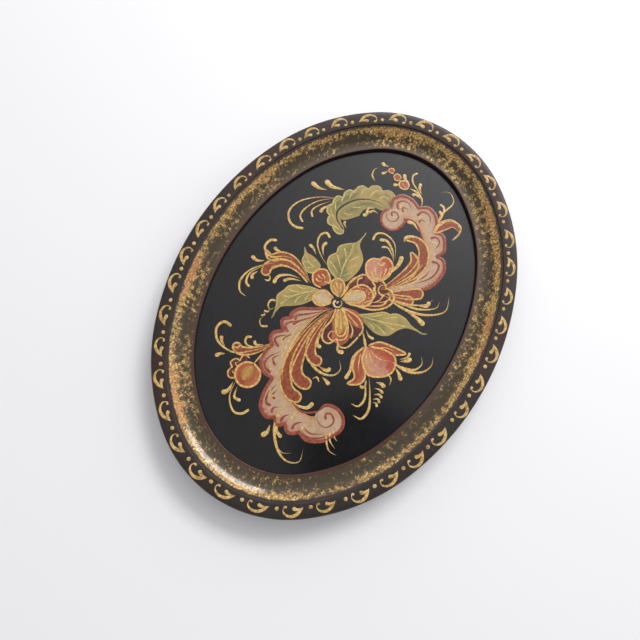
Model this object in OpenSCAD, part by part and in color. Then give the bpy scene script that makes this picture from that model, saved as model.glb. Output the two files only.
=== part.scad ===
/* [Overall] */
// Length of the tray over the rim
tray_length = 305; // [240:1:400]
// Width of the tray over the rim
tray_width = 227; // [190:1:300]
// Height from the table to the top of the rim's outer edge
tray_height = 19; // [17:0.5:26]

/* [Rim] */
// Width of the flat rim
rim_width = 10; // [8:0.5:14]
// Thickness of the rim layer at its outer edge
rim_thickness = 5; // [4:0.25:6]
// How far the rim's face falls from its outer edge to its inner edge
rim_dish = 1; // [0.5:0.1:1.5]
// Radius on the rim's outer arrises
rim_round = 1.6; // [0.5:0.1:1.9]
// How far the rim stands out past the ring under it
rim_overhang = 4; // [2:0.5:6]

/* [Cove ring] */
// Height of the small step between the rim and the cove
outer_step = 1; // [0.5:0.1:1.2]
// Width of the narrow flat between the step and the cove
ledge_width = 1.6; // [1:0.1:2.5]
// How far the ledge falls towards the hollow
ledge_fall = 0.3; // [0:0.1:0.5]
// Width of the hollow from the ledge to the lip
cove_width = 13.6; // [11:0.1:18]
// How far the hollow falls from the ledge to the lip
cove_depth = 4.8; // [3:0.1:5.5]
// Width of the flat land along the top of the lip
land_width = 1.4; // [0.8:0.1:2]
// Height of the lip's wall above the panel
lip_height = 2.8; // [2:0.1:4]
// Width of the flat foot that the tray stands on
foot_width = 8; // [5:0.5:10]

/* [Panel] */
// Thickness of the let-in panel
panel_thickness = 5; // [3:0.5:6]
// Width of the rebate that the panel's edge sits in
rebate_width = 6.6; // [5:0.1:8]
// Gap all round between the panel's edge and the rebate
panel_gap = 0.3; // [0.1:0.1:0.8]

/* [Joints and pins] */
// Thickness of each loose tongue
tongue_thickness = 3; // [2:0.5:4]
// Width of each tongue, measured across the ring
tongue_width = 6; // [4:0.5:7]
// Length of each tongue, measured across the joint
tongue_length = 14; // [8:1:20]
// Number of panel pins in each quarter of the oval
quarter_pins = 3; // [2:1:5]
// Diameter of a pin
pin_diameter = 1.4; // [1:0.1:2]
// Length of a pin
pin_length = 11; // [9:0.5:12]
// How much of each pin is driven into the ring
pin_driven = 5; // [4:0.5:6]

/* [Hidden] */
half_length = round(tray_length * 2) / 4;
half_width = round(tray_width * 2) / 4;

// The outline is an oval of eight tangent arcs, within 0.2 mm of an ellipse. In each quarter
// an end arc, a shoulder arc and a side arc meet where their common radius runs along a 3-4-5
// triangle and a 5-12-13 triangle, so every centre is a round number and every inset of the
// outline keeps the same centres.
END_LINE = [4, 3];
SIDE_LINE = [5, 12];
end_step = 5;
side_step = 13;
length_excess = half_length - half_width;
side_unit = hundredth(0.1187 * length_excess);
end_unit = (length_excess - 4 * side_unit) / 2;
end_x = end_unit * END_LINE[0] + side_unit * SIDE_LINE[0];
end_radius = half_length - end_x;
shoulder_x = side_unit * SIDE_LINE[0];
shoulder_y = -end_unit * END_LINE[1];
shoulder_radius = end_radius + end_unit * end_step;
side_y = shoulder_y - side_unit * SIDE_LINE[1];
side_radius = shoulder_radius + side_unit * side_step;
end_turn = atan2(END_LINE[1], END_LINE[0]);
side_turn = atan2(SIDE_LINE[1], SIDE_LINE[0]);

// The joints of the cove ring lie along this line from the shoulder's centre
JOINT_LINE = [3, 4];
joint_turn = atan2(JOINT_LINE[1], JOINT_LINE[0]);

// Each arc's centre and its radius at the rim's outer edge, in the first quarter
END_ARC = [[end_x, 0], end_radius];
SHOULDER_ARC = [[shoulder_x, shoulder_y], shoulder_radius];
SIDE_ARC = [[0, side_y], side_radius];

// Heights, from the table up
rim_top = tray_height;
rim_bottom = rim_top - rim_thickness;
rim_inner_top = rim_top - rim_dish;
ledge_top = rim_inner_top - outer_step;
cove_top = ledge_top - ledge_fall;
land_top = cove_top - cove_depth;
panel_top = land_top - lip_height;
panel_bottom = panel_top - panel_thickness;

// Insets, from the rim's outer edge inwards
cove_start = rim_width + ledge_width;
land_start = cove_start + cove_width;
lip_edge = land_start + land_width;
rebate_wall = lip_edge - rebate_width;
foot_outer = rebate_wall - foot_width;
panel_edge = rebate_wall + panel_gap;

// The hollow is one arc, level where it meets the land
cove_radius = (cove_width ^ 2 + cove_depth ^ 2) / (2 * cove_depth);
cove_turn = asin(cove_width / cove_radius);
curve_steps = 10;
arris = 0.3;

tongue_inset = (foot_outer + rebate_wall) / 2;
tongue_middle = hundredth(panel_top * 0.6);
pin_radius = pin_diameter / 2;
pin_height = panel_bottom - pin_radius;
reach = 2 * half_length;

wood_brown = "#8a6a45";
lacquer_black = "#26242a";
gilt_brown = "#7d683a";

$fn = 64;

function hundredth(x) = round(x * 100) / 100;

// Section of the rim layer: a slightly dished face and a rounded outer edge
function rim_section() = concat(
    [[rim_width, rim_inner_top], [rim_width, rim_bottom]],
    [for (t = [0 : 22.5 : 90])
        [rim_round * (1 - sin(t)), rim_bottom + rim_round * (1 - cos(t))]],
    [for (t = [0 : 22.5 : 90])
        [rim_round * (1 - cos(t)), rim_top - rim_round * (1 - sin(t))]]
);

// The hollow, from the land on the lip up to the ledge
function cove_curve() = [
    for (i = [0 : curve_steps])
        let (t = cove_turn * i / curve_steps)
            [land_start - cove_radius * sin(t), land_top + cove_radius * (1 - cos(t))]
];

// The outside of the ring under the rim, a swelling curve from the rim down to the foot
function outside_curve() = [
    for (i = [1 : curve_steps])
        let (t = 90 * i / curve_steps)
            [foot_outer - (foot_outer - rim_overhang) * cos(t), rim_bottom * (1 - sin(t))]
];

// Section of the cove ring: foot, rebate, lip, land, hollow, ledge and rim seat
function cove_section() = concat(
    [[rebate_wall, 0], [rebate_wall, panel_top], [lip_edge, panel_top],
     [lip_edge, land_top - arris], [lip_edge - arris, land_top]],
    cove_curve(),
    [[rim_width, ledge_top], [rim_width, rim_bottom], [rim_overhang, rim_bottom]],
    outside_curve()
);

// A whole ring of the section, turned about one arc's centre
module turned(section, arc) {
    translate(arc[0])
        rotate_extrude()
            polygon([for (p = section) [arc[1] - hundredth(p[0]), hundredth(p[1])]]);
}

// The upright wedge between two lines from a centre
module wedge(centre, line_a, line_b) {
    translate([0, 0, -1])
        linear_extrude(tray_height + 2)
            polygon([centre, centre + reach * line_a, centre + reach * (line_a + line_b),
                     centre + reach * line_b]);
}

// The stretch of a swept section that one arc makes between two lines
module stretch(section, arc, line_a, line_b) {
    intersection() {
        turned(section, arc);
        wedge(arc[0], line_a, line_b);
    }
}

// The section swept over the first quarter of the oval
module quarter(section) {
    stretch(section, END_ARC, [1, 0], END_LINE);
    stretch(section, SHOULDER_ARC, END_LINE, SIDE_LINE);
    stretch(section, SIDE_ARC, SIDE_LINE, [0, 1]);
}

// The section swept round the right-hand end, from joint to joint
module end_stretch(section) {
    stretch(section, END_ARC, [END_LINE[0], -END_LINE[1]], END_LINE);
    for (flip = [0, 1])
        mirror([0, flip, 0])
            stretch(section, SHOULDER_ARC, END_LINE, JOINT_LINE);
}

// The section swept along the back, from joint to joint
module side_stretch(section) {
    stretch(section, SIDE_ARC, SIDE_LINE, [-SIDE_LINE[0], SIDE_LINE[1]]);
    for (flip = [0, 1])
        mirror([flip, 0, 0])
            stretch(section, SHOULDER_ARC, JOINT_LINE, SIDE_LINE);
}

// Puts its child at a direction in the first quarter of the oval, with +X pointing
// outwards and the origin at the given inset from the rim's outer edge
module at_direction(direction, inset) {
    arc = direction < end_turn ? END_ARC : direction < side_turn ? SHOULDER_ARC : SIDE_ARC;
    translate(arc[0])
        rotate([0, 0, direction])
            translate([arc[1] - inset, 0, 0])
                children();
}

// Repeats its child in the four quarters of the oval
module in_each_quarter() {
    for (x_flip = [0, 1], y_flip = [0, 1])
        mirror([x_flip, 0, 0])
            mirror([0, y_flip, 0])
                children();
}

// One quarter of the rim layer, from one axis of the oval to the next
module rim_quarter(x_flip, y_flip) {
    color(lacquer_black)
        mirror([x_flip, 0, 0])
            mirror([0, y_flip, 0])
                quarter(rim_section());
}

// A segment that goes round one end of the cove ring
module cove_end(flip) {
    color(gilt_brown)
        difference() {
            mirror([flip, 0, 0]) end_stretch(cove_section());
            tongues();
            pins();
        }
}

// A segment that goes along one side of the cove ring
module cove_side(flip) {
    color(gilt_brown)
        difference() {
            mirror([0, flip, 0]) side_stretch(cove_section());
            tongues();
            pins();
        }
}

// The panel, an oval board held in the rebate: a band across the middle between the two
// side arcs, a piece between the shoulder arcs and a piece within the end arc at each end
module centre_panel() {
    crossing = [shoulder_x - shoulder_y * SIDE_LINE[0] / SIDE_LINE[1], 0];
    side_reach = reach * SIDE_LINE;
    end_reach = reach * END_LINE;
    mid_far = crossing + side_reach;
    end_far = END_ARC[0] + end_reach;
    color(lacquer_black)
        translate([0, 0, panel_bottom])
            union() {
                intersection() {
                    panel_disc(SIDE_ARC, 1);
                    panel_disc(SIDE_ARC, -1);
                    linear_extrude(panel_thickness)
                        polygon([crossing, mid_far, [-mid_far[0], mid_far[1]], -crossing,
                                 -mid_far, [mid_far[0], -mid_far[1]]]);
                }
                for (flip = [0, 1])
                    mirror([flip, 0, 0]) {
                        intersection() {
                            panel_disc(SHOULDER_ARC, 1);
                            panel_disc(SHOULDER_ARC, -1);
                            linear_extrude(panel_thickness)
                                polygon([crossing, mid_far, end_far, END_ARC[0],
                                         [end_far[0], -end_far[1]], [mid_far[0], -mid_far[1]]]);
                        }
                        intersection() {
                            panel_disc(END_ARC, 1);
                            linear_extrude(panel_thickness)
                                polygon([END_ARC[0], end_far, [end_far[0], -end_far[1]]]);
                        }
                    }
            }
}

// The full disc that one arc of the panel's edge belongs to, on one side of the long axis
module panel_disc(arc, side) {
    translate([arc[0][0], side * arc[0][1], 0])
        cylinder(h = panel_thickness, r = arc[1] - panel_edge);
}

// The loose tongues, one across each joint of the cove ring
module tongues() {
    in_each_quarter()
        at_direction(joint_turn, tongue_inset)
            translate([0, 0, tongue_middle])
                cube([tongue_width, tongue_length, tongue_thickness], center = true);
}

module joint_tongues() {
    color(wood_brown) tongues();
}

// The pins lie against the panel's back and are driven outwards into the ring
module pins() {
    in_each_quarter()
        for (i = [0 : quarter_pins - 1])
            at_direction((i + 0.5) * 90 / quarter_pins, rebate_wall)
                translate([pin_driven - pin_length, 0, pin_height])
                    rotate([0, 90, 0])
                        cylinder(h = pin_length, r = pin_radius, $fn = 24);
}

module panel_pins() {
    color("silver") pins();
}

rim_quarter(0, 0);  // rim_quarter_a
rim_quarter(1, 0);  // rim_quarter_b
rim_quarter(1, 1);  // rim_quarter_c
rim_quarter(0, 1);  // rim_quarter_d
cove_end(0);  // cove_end_right
cove_side(0);  // cove_side_back
cove_end(1);  // cove_end_left
cove_side(1);  // cove_side_front
centre_panel();
joint_tongues();
panel_pins();
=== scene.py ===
import math
import random
import bpy
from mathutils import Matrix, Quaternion, Vector


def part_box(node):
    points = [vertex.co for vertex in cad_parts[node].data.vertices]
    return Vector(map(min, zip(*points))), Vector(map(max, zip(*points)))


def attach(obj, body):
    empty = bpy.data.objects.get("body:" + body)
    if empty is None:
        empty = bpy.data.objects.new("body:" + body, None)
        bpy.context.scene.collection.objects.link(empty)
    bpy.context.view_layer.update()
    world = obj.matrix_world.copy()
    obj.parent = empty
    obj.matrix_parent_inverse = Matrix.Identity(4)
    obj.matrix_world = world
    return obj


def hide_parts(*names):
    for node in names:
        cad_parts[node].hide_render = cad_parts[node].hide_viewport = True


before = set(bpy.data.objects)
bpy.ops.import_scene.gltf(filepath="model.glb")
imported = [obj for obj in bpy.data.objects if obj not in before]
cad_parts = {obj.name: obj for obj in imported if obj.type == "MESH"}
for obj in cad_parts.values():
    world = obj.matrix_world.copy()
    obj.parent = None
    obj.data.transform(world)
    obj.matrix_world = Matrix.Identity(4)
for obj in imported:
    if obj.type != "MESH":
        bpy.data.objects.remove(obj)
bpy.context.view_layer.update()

# ---------------------------------------------------------------------------
# The view: a camera held over the lower half of the tray, tipped a little, so that the
# tray's long axis runs up to the right.
# ---------------------------------------------------------------------------
camera_place = Vector((-0.0880, -0.0193, 0.3479))
camera_aim = Vector((-0.0191, 0.0047, 0.0090))
camera_roll = math.radians(12.5)
bpy.ops.object.camera_add(location=camera_place)
camera = bpy.context.object
camera.name = "camera"
camera.rotation_mode = "QUATERNION"
camera.rotation_quaternion = (
    (camera_aim - camera_place).to_track_quat("-Z", "Y") @ Quaternion((0, 0, 1), camera_roll))
camera.data.lens = 28.1
camera.data.sensor_width = 36
camera.data.clip_start = 0.01
bpy.context.scene.camera = camera
bpy.context.scene.view_settings.view_transform = "Standard"

# ---------------------------------------------------------------------------
# The studio: a matt white table top, one soft window beyond the tray's right-hand end, and a
# pale room that is brighter on the window's side.
# ---------------------------------------------------------------------------
def new_material(name, roughness, coat=0.0, coat_roughness=0.1, metallic=0.0, specular=0.5):
    """A material with its shader's even values set, ready for its own pattern nodes."""
    material = bpy.data.materials.new(name)
    material.use_nodes = True
    shader = material.node_tree.nodes["Principled BSDF"]
    shader.inputs["Roughness"].default_value = roughness
    shader.inputs["Coat Weight"].default_value = coat
    shader.inputs["Coat Roughness"].default_value = coat_roughness
    shader.inputs["Metallic"].default_value = metallic
    shader.inputs["Specular IOR Level"].default_value = specular
    return material, material.node_tree, shader


floor_size = 4.0
floor_height = -0.00005
bpy.ops.object.select_all(action="DESELECT")
bpy.ops.mesh.primitive_plane_add(size=floor_size, location=(0, 0, floor_height))
floor = bpy.context.object
floor.name = "table_top"
table_white, tree, shader = new_material("table_white", roughness=0.55)
shader.inputs["Base Color"].default_value = (0.93, 0.93, 0.94, 1)
floor.data.materials.append(table_white)

window_place = (1.03, -0.04, 1.02)
bpy.ops.object.light_add(type="AREA", location=window_place)
window = bpy.context.object
window.name = "window"
window.data.shape = "RECTANGLE"
window.data.size = 0.86
window.data.size_y = 0.42
window.data.energy = 12.2
window.rotation_euler = (-Vector(window_place)).to_track_quat("-Z", "Y").to_euler()

# The rest of the light comes from pale walls and a ceiling, dimmest in the middle of the room
# and brightest on the window's side, where the last stop stays white
world = bpy.data.worlds.new("room_light")
world.use_nodes = True
room = world.node_tree.nodes
room_links = world.node_tree.links
sky_way = room.new("ShaderNodeSeparateXYZ")
sky_from = room.new("ShaderNodeTexCoord").outputs["Generated"]
room_links.new(sky_from, sky_way.inputs["Vector"])
sky = room.new("ShaderNodeValToRGB")
sky_blue = 1.02
sky.color_ramp.elements[0].color = (0.56, 0.56, 0.56 * sky_blue, 1)
for sky_place, sky_grey in ((0.50, 0.43), (0.62, 0.66), (0.74, 1.08)):
    sky_stop = sky.color_ramp.elements.new(sky_place)
    sky_stop.color = (sky_grey, sky_grey, sky_grey * sky_blue, 1)
sky_turn = room.new("ShaderNodeMapRange")
sky_turn.inputs["From Min"].default_value = -1.0
room_links.new(sky_way.outputs["X"], sky_turn.inputs["Value"])
room_links.new(sky_turn.outputs["Result"], sky.inputs["Fac"])
# A patch almost straight overhead is dim, as where someone stands over the table
overhead = room.new("ShaderNodeVectorMath")
overhead.operation = "DISTANCE"
overhead.inputs[1].default_value = (0.01, -0.13, 0.99)
room_links.new(sky_from, overhead.inputs[0])
shade = room.new("ShaderNodeMapRange")
shade.interpolation_type = "SMOOTHSTEP"
for socket, value in (("From Min", 0.07), ("From Max", 0.16), ("To Min", 0.12), ("To Max", 1.0)):
    shade.inputs[socket].default_value = value
room_links.new(overhead.outputs["Value"], shade.inputs["Value"])
dimmed = room.new("ShaderNodeVectorMath")
dimmed.operation = "SCALE"
room_links.new(sky.outputs["Color"], dimmed.inputs[0])
room_links.new(shade.outputs["Result"], dimmed.inputs["Scale"])
room_links.new(dimmed.outputs["Vector"], room["Background"].inputs["Color"])
room["Background"].inputs["Strength"].default_value = 0.96
bpy.context.scene.world = world

# ---------------------------------------------------------------------------
# Rim: the top layer of the ring, four quarters of wood glued end to end, planed flat with a
# slight dish, rounded on the outside and painted black-brown. The paint hides the joints, so
# one ring stands for the four quarters.
# ---------------------------------------------------------------------------
# Sizes are in mm from here on, and a mesh takes them times this
MM = 0.001
rim_low, rim_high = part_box("rim_quarter_a")
half_length = rim_high[0] / MM
half_width = rim_high[1] / MM
rim_top = rim_high[2] / MM
rim_bottom = rim_low[2] / MM
rim_width = 10.0
rim_dish = 1.0
rim_round = 1.6

# The oval: an end arc, a shoulder arc and a side arc in each quarter, which meet along a
# 4-3-5 line and a 5-12-13 line. The share sets how full its shoulders are.
length_excess = half_length - half_width
shoulder_share = 0.1187
side_unit = round(shoulder_share * length_excess, 2)
end_unit = (length_excess - 4 * side_unit) / 2
end_x = 4 * end_unit + 5 * side_unit
end_radius = half_length - end_x
shoulder_x = 5 * side_unit
shoulder_y = -3 * end_unit
shoulder_radius = end_radius + 5 * end_unit
side_y = shoulder_y - 12 * side_unit
side_radius = shoulder_radius + 13 * side_unit
end_turn = math.atan2(3, 4)
side_turn = math.atan2(12, 5)
half_turn = math.pi
full_turn = 2 * math.pi
# Each arc: centre x, centre y, outer radius, first direction, last direction
OVAL_ARCS = [
    (end_x, 0, end_radius, 0, end_turn),
    (shoulder_x, shoulder_y, shoulder_radius, end_turn, side_turn),
    (0, side_y, side_radius, side_turn, half_turn - side_turn),
    (-shoulder_x, shoulder_y, shoulder_radius, half_turn - side_turn, half_turn - end_turn),
    (-end_x, 0, end_radius, half_turn - end_turn, half_turn + end_turn),
    (-shoulder_x, -shoulder_y, shoulder_radius, half_turn + end_turn, half_turn + side_turn),
    (0, -side_y, side_radius, half_turn + side_turn, full_turn - side_turn),
    (shoulder_x, -shoulder_y, shoulder_radius, full_turn - side_turn, full_turn - end_turn),
    (end_x, 0, end_radius, full_turn - end_turn, full_turn),
]


def arc_at(direction):
    """The arc of the oval whose outward direction this is."""
    direction %= full_turn
    for arc in OVAL_ARCS:
        if direction <= arc[4]:
            return arc
    return OVAL_ARCS[-1]


def oval_point(direction, inset):
    """The point in mm at an outward direction, so far in from the rim's outer edge."""
    x, y, radius, first, last = arc_at(direction)
    reach = radius - inset
    return x + reach * math.cos(direction), y + reach * math.sin(direction)


def inset_of(x, y):
    """How far in from the rim's outer edge a point in mm lies."""
    px, py = abs(x), abs(y)
    for cx, cy, radius, first, last in OVAL_ARCS[:3]:
        if math.atan2(py - cy, px - cx) <= last + 1e-6:
            return radius - math.hypot(px - cx, py - cy)
    return side_radius - math.hypot(px, py - side_y)


weld_gap = 1e-6


def select_only(piece):
    """Makes one object the only selected one and the active one."""
    bpy.ops.object.select_all(action="DESELECT")
    piece.select_set(True)
    bpy.context.view_layer.objects.active = piece


def faces_outwards(piece, weld=False):
    """Turns a mesh's faces outwards, once its doubled points are welded where it has any."""
    select_only(piece)
    bpy.ops.object.mode_set(mode="EDIT")
    bpy.ops.mesh.select_all(action="SELECT")
    if weld:
        bpy.ops.mesh.remove_doubles(threshold=weld_gap)
    bpy.ops.mesh.normals_make_consistent(inside=False)
    bpy.ops.object.mode_set(mode="OBJECT")


def sweep_ring(name, section, step_length):
    """Spins a closed section of (inset, height) points in mm round the oval, arc by arc."""
    bpy.ops.object.select_all(action="DESELECT")
    bpy.ops.mesh.primitive_circle_add(vertices=len(section), radius=1, fill_type="NOTHING")
    ring = bpy.context.object
    ring.name = name
    for vertex, (inset, height) in zip(ring.data.vertices, section):
        vertex.co = ((half_length - inset) * MM, 0, height * MM)
    bpy.ops.object.mode_set(mode="EDIT")
    bpy.ops.mesh.select_all(action="SELECT")
    for x, y, radius, first, last in OVAL_ARCS:
        steps = max(2, round((last - first) * radius / step_length))
        bpy.ops.mesh.spin(steps=steps, angle=first - last, center=(x * MM, y * MM, 0),
                          axis=(0, 0, 1))
    bpy.ops.object.mode_set(mode="OBJECT")
    faces_outwards(ring, weld=True)
    inset_layer = ring.data.attributes.new("inset", "FLOAT", "POINT")
    for vertex, value in zip(ring.data.vertices, inset_layer.data):
        value.value = inset_of(vertex.co.x / MM, vertex.co.y / MM)
    bpy.ops.object.shade_smooth_by_angle(angle=math.radians(35))
    return ring


def rounded(corner, radius, start, end, steps):
    """Points of a round corner about its centre, from one direction to another in degrees."""
    return [(corner[0] + radius * math.cos(math.radians(start + (end - start) * i / steps)),
             corner[1] + radius * math.sin(math.radians(start + (end - start) * i / steps)))
            for i in range(steps + 1)]


arris = 0.45
ring_step = 1.6
rim_section = (
    rounded((rim_round, rim_top - rim_round), rim_round, 180, 90, 8)
    + [(rim_width * 0.4, rim_top - rim_dish * 0.28), (rim_width * 0.7, rim_top - rim_dish * 0.62)]
    + rounded((rim_width - arris, rim_top - rim_dish - arris), arris, 84, 0, 4)
    + [(rim_width, rim_bottom)]
    + rounded((rim_round, rim_bottom + rim_round), rim_round, 270, 180, 8)[:-1]
)
rim = sweep_ring("rim", rim_section, ring_step)


def colour(red, green, blue):
    """A paint colour from its 0 to 255 chart values, as the shader wants it."""
    chart = [value / 255 for value in (red, green, blue)]
    return tuple(v / 12.92 if v < 0.04 else ((v + 0.055) / 1.055) ** 2.4 for v in chart) + (1,)


def noise_node(tree, source, scale, detail=4.0, roughness=0.55, stretch=None):
    """A noise pattern read from a coordinate output, which stretch can draw out."""
    noise = tree.nodes.new("ShaderNodeTexNoise")
    noise.inputs["Scale"].default_value = scale
    noise.inputs["Detail"].default_value = detail
    noise.inputs["Roughness"].default_value = roughness
    if stretch:
        mapping = tree.nodes.new("ShaderNodeMapping")
        mapping.inputs["Scale"].default_value = stretch
        tree.links.new(source, mapping.inputs["Vector"])
        source = mapping.outputs["Vector"]
    tree.links.new(source, noise.inputs["Vector"])
    return noise.outputs["Fac"]


def ramp_node(tree, source, stops):
    """Colours placed along a 0 to 1 value."""
    ramp = tree.nodes.new("ShaderNodeValToRGB")
    while len(ramp.color_ramp.elements) < len(stops):
        ramp.color_ramp.elements.new(0.5)
    for element, (stop, tint) in zip(ramp.color_ramp.elements, stops):
        element.position = stop
        element.color = colour(*tint)
    tree.links.new(source, ramp.inputs["Fac"])
    return ramp.outputs["Color"]


def blend_node(tree, amount, first, second, how="MIX"):
    """One colour laid over another by an amount, either of them a value or an output."""
    mix = tree.nodes.new("ShaderNodeMix")
    mix.data_type = "RGBA"
    mix.blend_type = how
    for socket, value in ((mix.inputs[0], amount), (mix.inputs[6], first), (mix.inputs[7], second)):
        if isinstance(value, (int, float, tuple)):
            socket.default_value = value
        else:
            tree.links.new(value, socket)
    return mix.outputs[2]


def range_node(tree, source, low, high, to_low, to_high):
    """A value carried from one range to another and held at its ends."""
    spread = tree.nodes.new("ShaderNodeMapRange")
    spread.inputs["From Min"].default_value = low
    spread.inputs["From Max"].default_value = high
    spread.inputs["To Min"].default_value = to_low
    spread.inputs["To Max"].default_value = to_high
    tree.links.new(source, spread.inputs["Value"])
    return spread.outputs["Result"]


def math_node(tree, how, first, second):
    """Two values put together by one rule."""
    sums = tree.nodes.new("ShaderNodeMath")
    sums.operation = how
    for socket, value in ((sums.inputs[0], first), (sums.inputs[1], second)):
        if isinstance(value, (int, float)):
            socket.default_value = value
        else:
            tree.links.new(value, socket)
    return sums.outputs["Value"]


def bump_node(tree, height, strength, distance, shader, coat_too=False):
    """A surface texture from a height pattern, in metres."""
    bump = tree.nodes.new("ShaderNodeBump")
    bump.inputs["Strength"].default_value = strength
    bump.inputs["Distance"].default_value = distance
    tree.links.new(height, bump.inputs["Height"])
    tree.links.new(bump.outputs["Normal"], shader.inputs["Normal"])
    if coat_too:
        tree.links.new(bump.outputs["Normal"], shader.inputs["Coat Normal"])


rim_lacquer, tree, shader = new_material(
    "rim_lacquer", roughness=0.5, coat=0.30, coat_roughness=0.26, specular=0.3)
place = tree.nodes.new("ShaderNodeTexCoord").outputs["Object"]
inset = tree.nodes.new("ShaderNodeAttribute")
inset.attribute_name = "inset"
inset = inset.outputs["Fac"]
clouds = noise_node(tree, place, scale=9, detail=3)
ground = ramp_node(tree, clouds,
                   [(0.36, (42, 37, 33)), (0.54, (46, 34, 28)), (0.68, (62, 33, 23))])
grain = noise_node(tree, place, scale=420, detail=5, roughness=0.6)
speckle = ramp_node(tree, grain, [(0.36, (150, 150, 150)), (0.66, (255, 250, 246))])
ground = blend_node(tree, 0.55, ground, speckle, how="MULTIPLY")
# Handling has worn the varnish to a browner, paler line on the two arrises, which is also a painted
# highlight along them
worn = noise_node(tree, place, scale=60, detail=5)
inner_arris = range_node(tree, inset, 9.2, 9.95, 0.0, 1.0)
outer_arris = range_node(tree, inset, 1.5, 0.3, 0.0, 1.0)
wear_and_highlight = math_node(tree, "MULTIPLY",
                 math_node(tree, "ADD", inner_arris, outer_arris),
                 range_node(tree, worn, 0.45, 0.68, 0.0, 0.55))
ground = blend_node(tree, wear_and_highlight, ground, colour(104, 76, 58))
tree.links.new(ground, shader.inputs["Base Color"])
tree.links.new(range_node(tree, worn, 0.3, 0.7, 0.42, 0.62), shader.inputs["Roughness"])
bump_node(tree, grain, strength=0.25, distance=0.00012, shader=shader)
rim.data.materials.append(rim_lacquer)
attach(rim, "root")
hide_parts("rim_quarter_a", "rim_quarter_b", "rim_quarter_c", "rim_quarter_d")

# ---------------------------------------------------------------------------
# Cove ring: the wooden ring below the rim, four segments tongued together, with the gilded
# hollow, the lip that holds the panel, and the foot. Bronze powder was dabbed on with a sponge
# over brown paint and sealed with thick gloss varnish.
# ---------------------------------------------------------------------------
cove_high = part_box("cove_end_right")[1]
ledge_top = cove_high[2] / MM
ledge_width = 1.6
cove_width = 13.6
cove_depth = 4.8
land_width = 1.4
rebate_width = 6.6
foot_width = 8.0
rim_overhang = 4.0
panel_low, panel_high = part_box("centre_panel")
panel_top = panel_high[2] / MM
panel_bottom = panel_low[2] / MM
cove_start = rim_width + ledge_width
cove_top = ledge_top - 0.3
land_start = cove_start + cove_width
land_top = cove_top - cove_depth
lip_edge = land_start + land_width
rebate_wall = lip_edge - rebate_width
foot_outer = rebate_wall - foot_width
cove_radius = (cove_width ** 2 + cove_depth ** 2) / (2 * cove_depth)
cove_slope = math.degrees(math.asin(cove_width / cove_radius))
foot_swell = [(foot_outer - (foot_outer - rim_overhang) * math.cos(t), rim_bottom * (1 - math.sin(t)))
              for t in [math.radians(9 * i) for i in range(10)]]
cove_section = (
    [(rim_width, ledge_top - 0.02)]
    + rounded((cove_start - 0.4, cove_top - 0.3), 0.36, 80, 30, 3)
    + rounded((land_start, land_top + cove_radius), cove_radius, 268 - cove_slope, 270, 20)
    + rounded((lip_edge - 0.35, land_top - 0.35), 0.35, 90, 0, 4)
    + [(lip_edge, panel_top), (rebate_wall, panel_top), (rebate_wall, 0.5)]
    + [(rebate_wall - 0.5, 0.0), (foot_outer + 0.4, 0.0)]
    + foot_swell[::-1][1:]
    + [(rim_overhang, rim_bottom), (rim_width, rim_bottom)]
)
cove = sweep_ring("cove_ring", cove_section, ring_step)

cove_gilding, tree, shader = new_material(
    "cove_gilding", roughness=0.42, coat=0.9, coat_roughness=0.12, specular=0.34)
shader.inputs["Coat IOR"].default_value = 1.5
shader.inputs["Specular Tint"].default_value = (1.0, 0.82, 0.56, 1.0)
place = tree.nodes.new("ShaderNodeTexCoord").outputs["Object"]
inset = tree.nodes.new("ShaderNodeAttribute")
inset.attribute_name = "inset"
inset = inset.outputs["Fac"]
height = tree.nodes.new("ShaderNodeSeparateXYZ")
tree.links.new(place, height.inputs["Vector"])
height = height.outputs["Z"]


def band_node(low, rise, high, fall):
    """How much of the gilding lies at an inset: up from low to rise, down from high to fall."""
    up = range_node(tree, inset, low, rise, 0.0, 1.0)
    down = range_node(tree, inset, high, fall, 1.0, 0.0)
    return math_node(tree, "MULTIPLY", up, down)


drift = noise_node(tree, place, scale=26, detail=3)
lumps = noise_node(tree, place, scale=330, detail=9, roughness=0.76)
flecks = noise_node(tree, place, scale=950, detail=4, roughness=0.6)
# Brown ground, with a painted dark reflection in the middle of the hollow and a painted grey sheen on
# its inner slope
ground = ramp_node(tree, range_node(tree, inset, 10, 26.6, 0, 1), [
    (0.00, (52, 40, 42)), (0.09, (46, 34, 34)), (0.14, (66, 48, 26)), (0.34, (52, 38, 18)),
    (0.55, (44, 33, 16)), (0.76, (58, 46, 30)), (0.89, (68, 55, 42)), (0.96, (82, 38, 28)),
    (1.00, (36, 22, 20))])
outer_gold = band_node(10.9, 12.0, 13.4, 18.6)
inner_gold = band_node(17.0, 20.5, 24.0, 25.2)
cover = math_node(tree, "ADD",
                  math_node(tree, "MULTIPLY", outer_gold, 0.19),
                  math_node(tree, "MULTIPLY", inner_gold, 0.068))
cover = math_node(tree, "ADD", cover, range_node(tree, drift, 0.3, 0.7, -0.07, 0.07))
gold_here = range_node(tree, math_node(tree, "ADD", lumps, cover),
                       0.585, 0.69, 0.0, 1.0)
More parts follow.
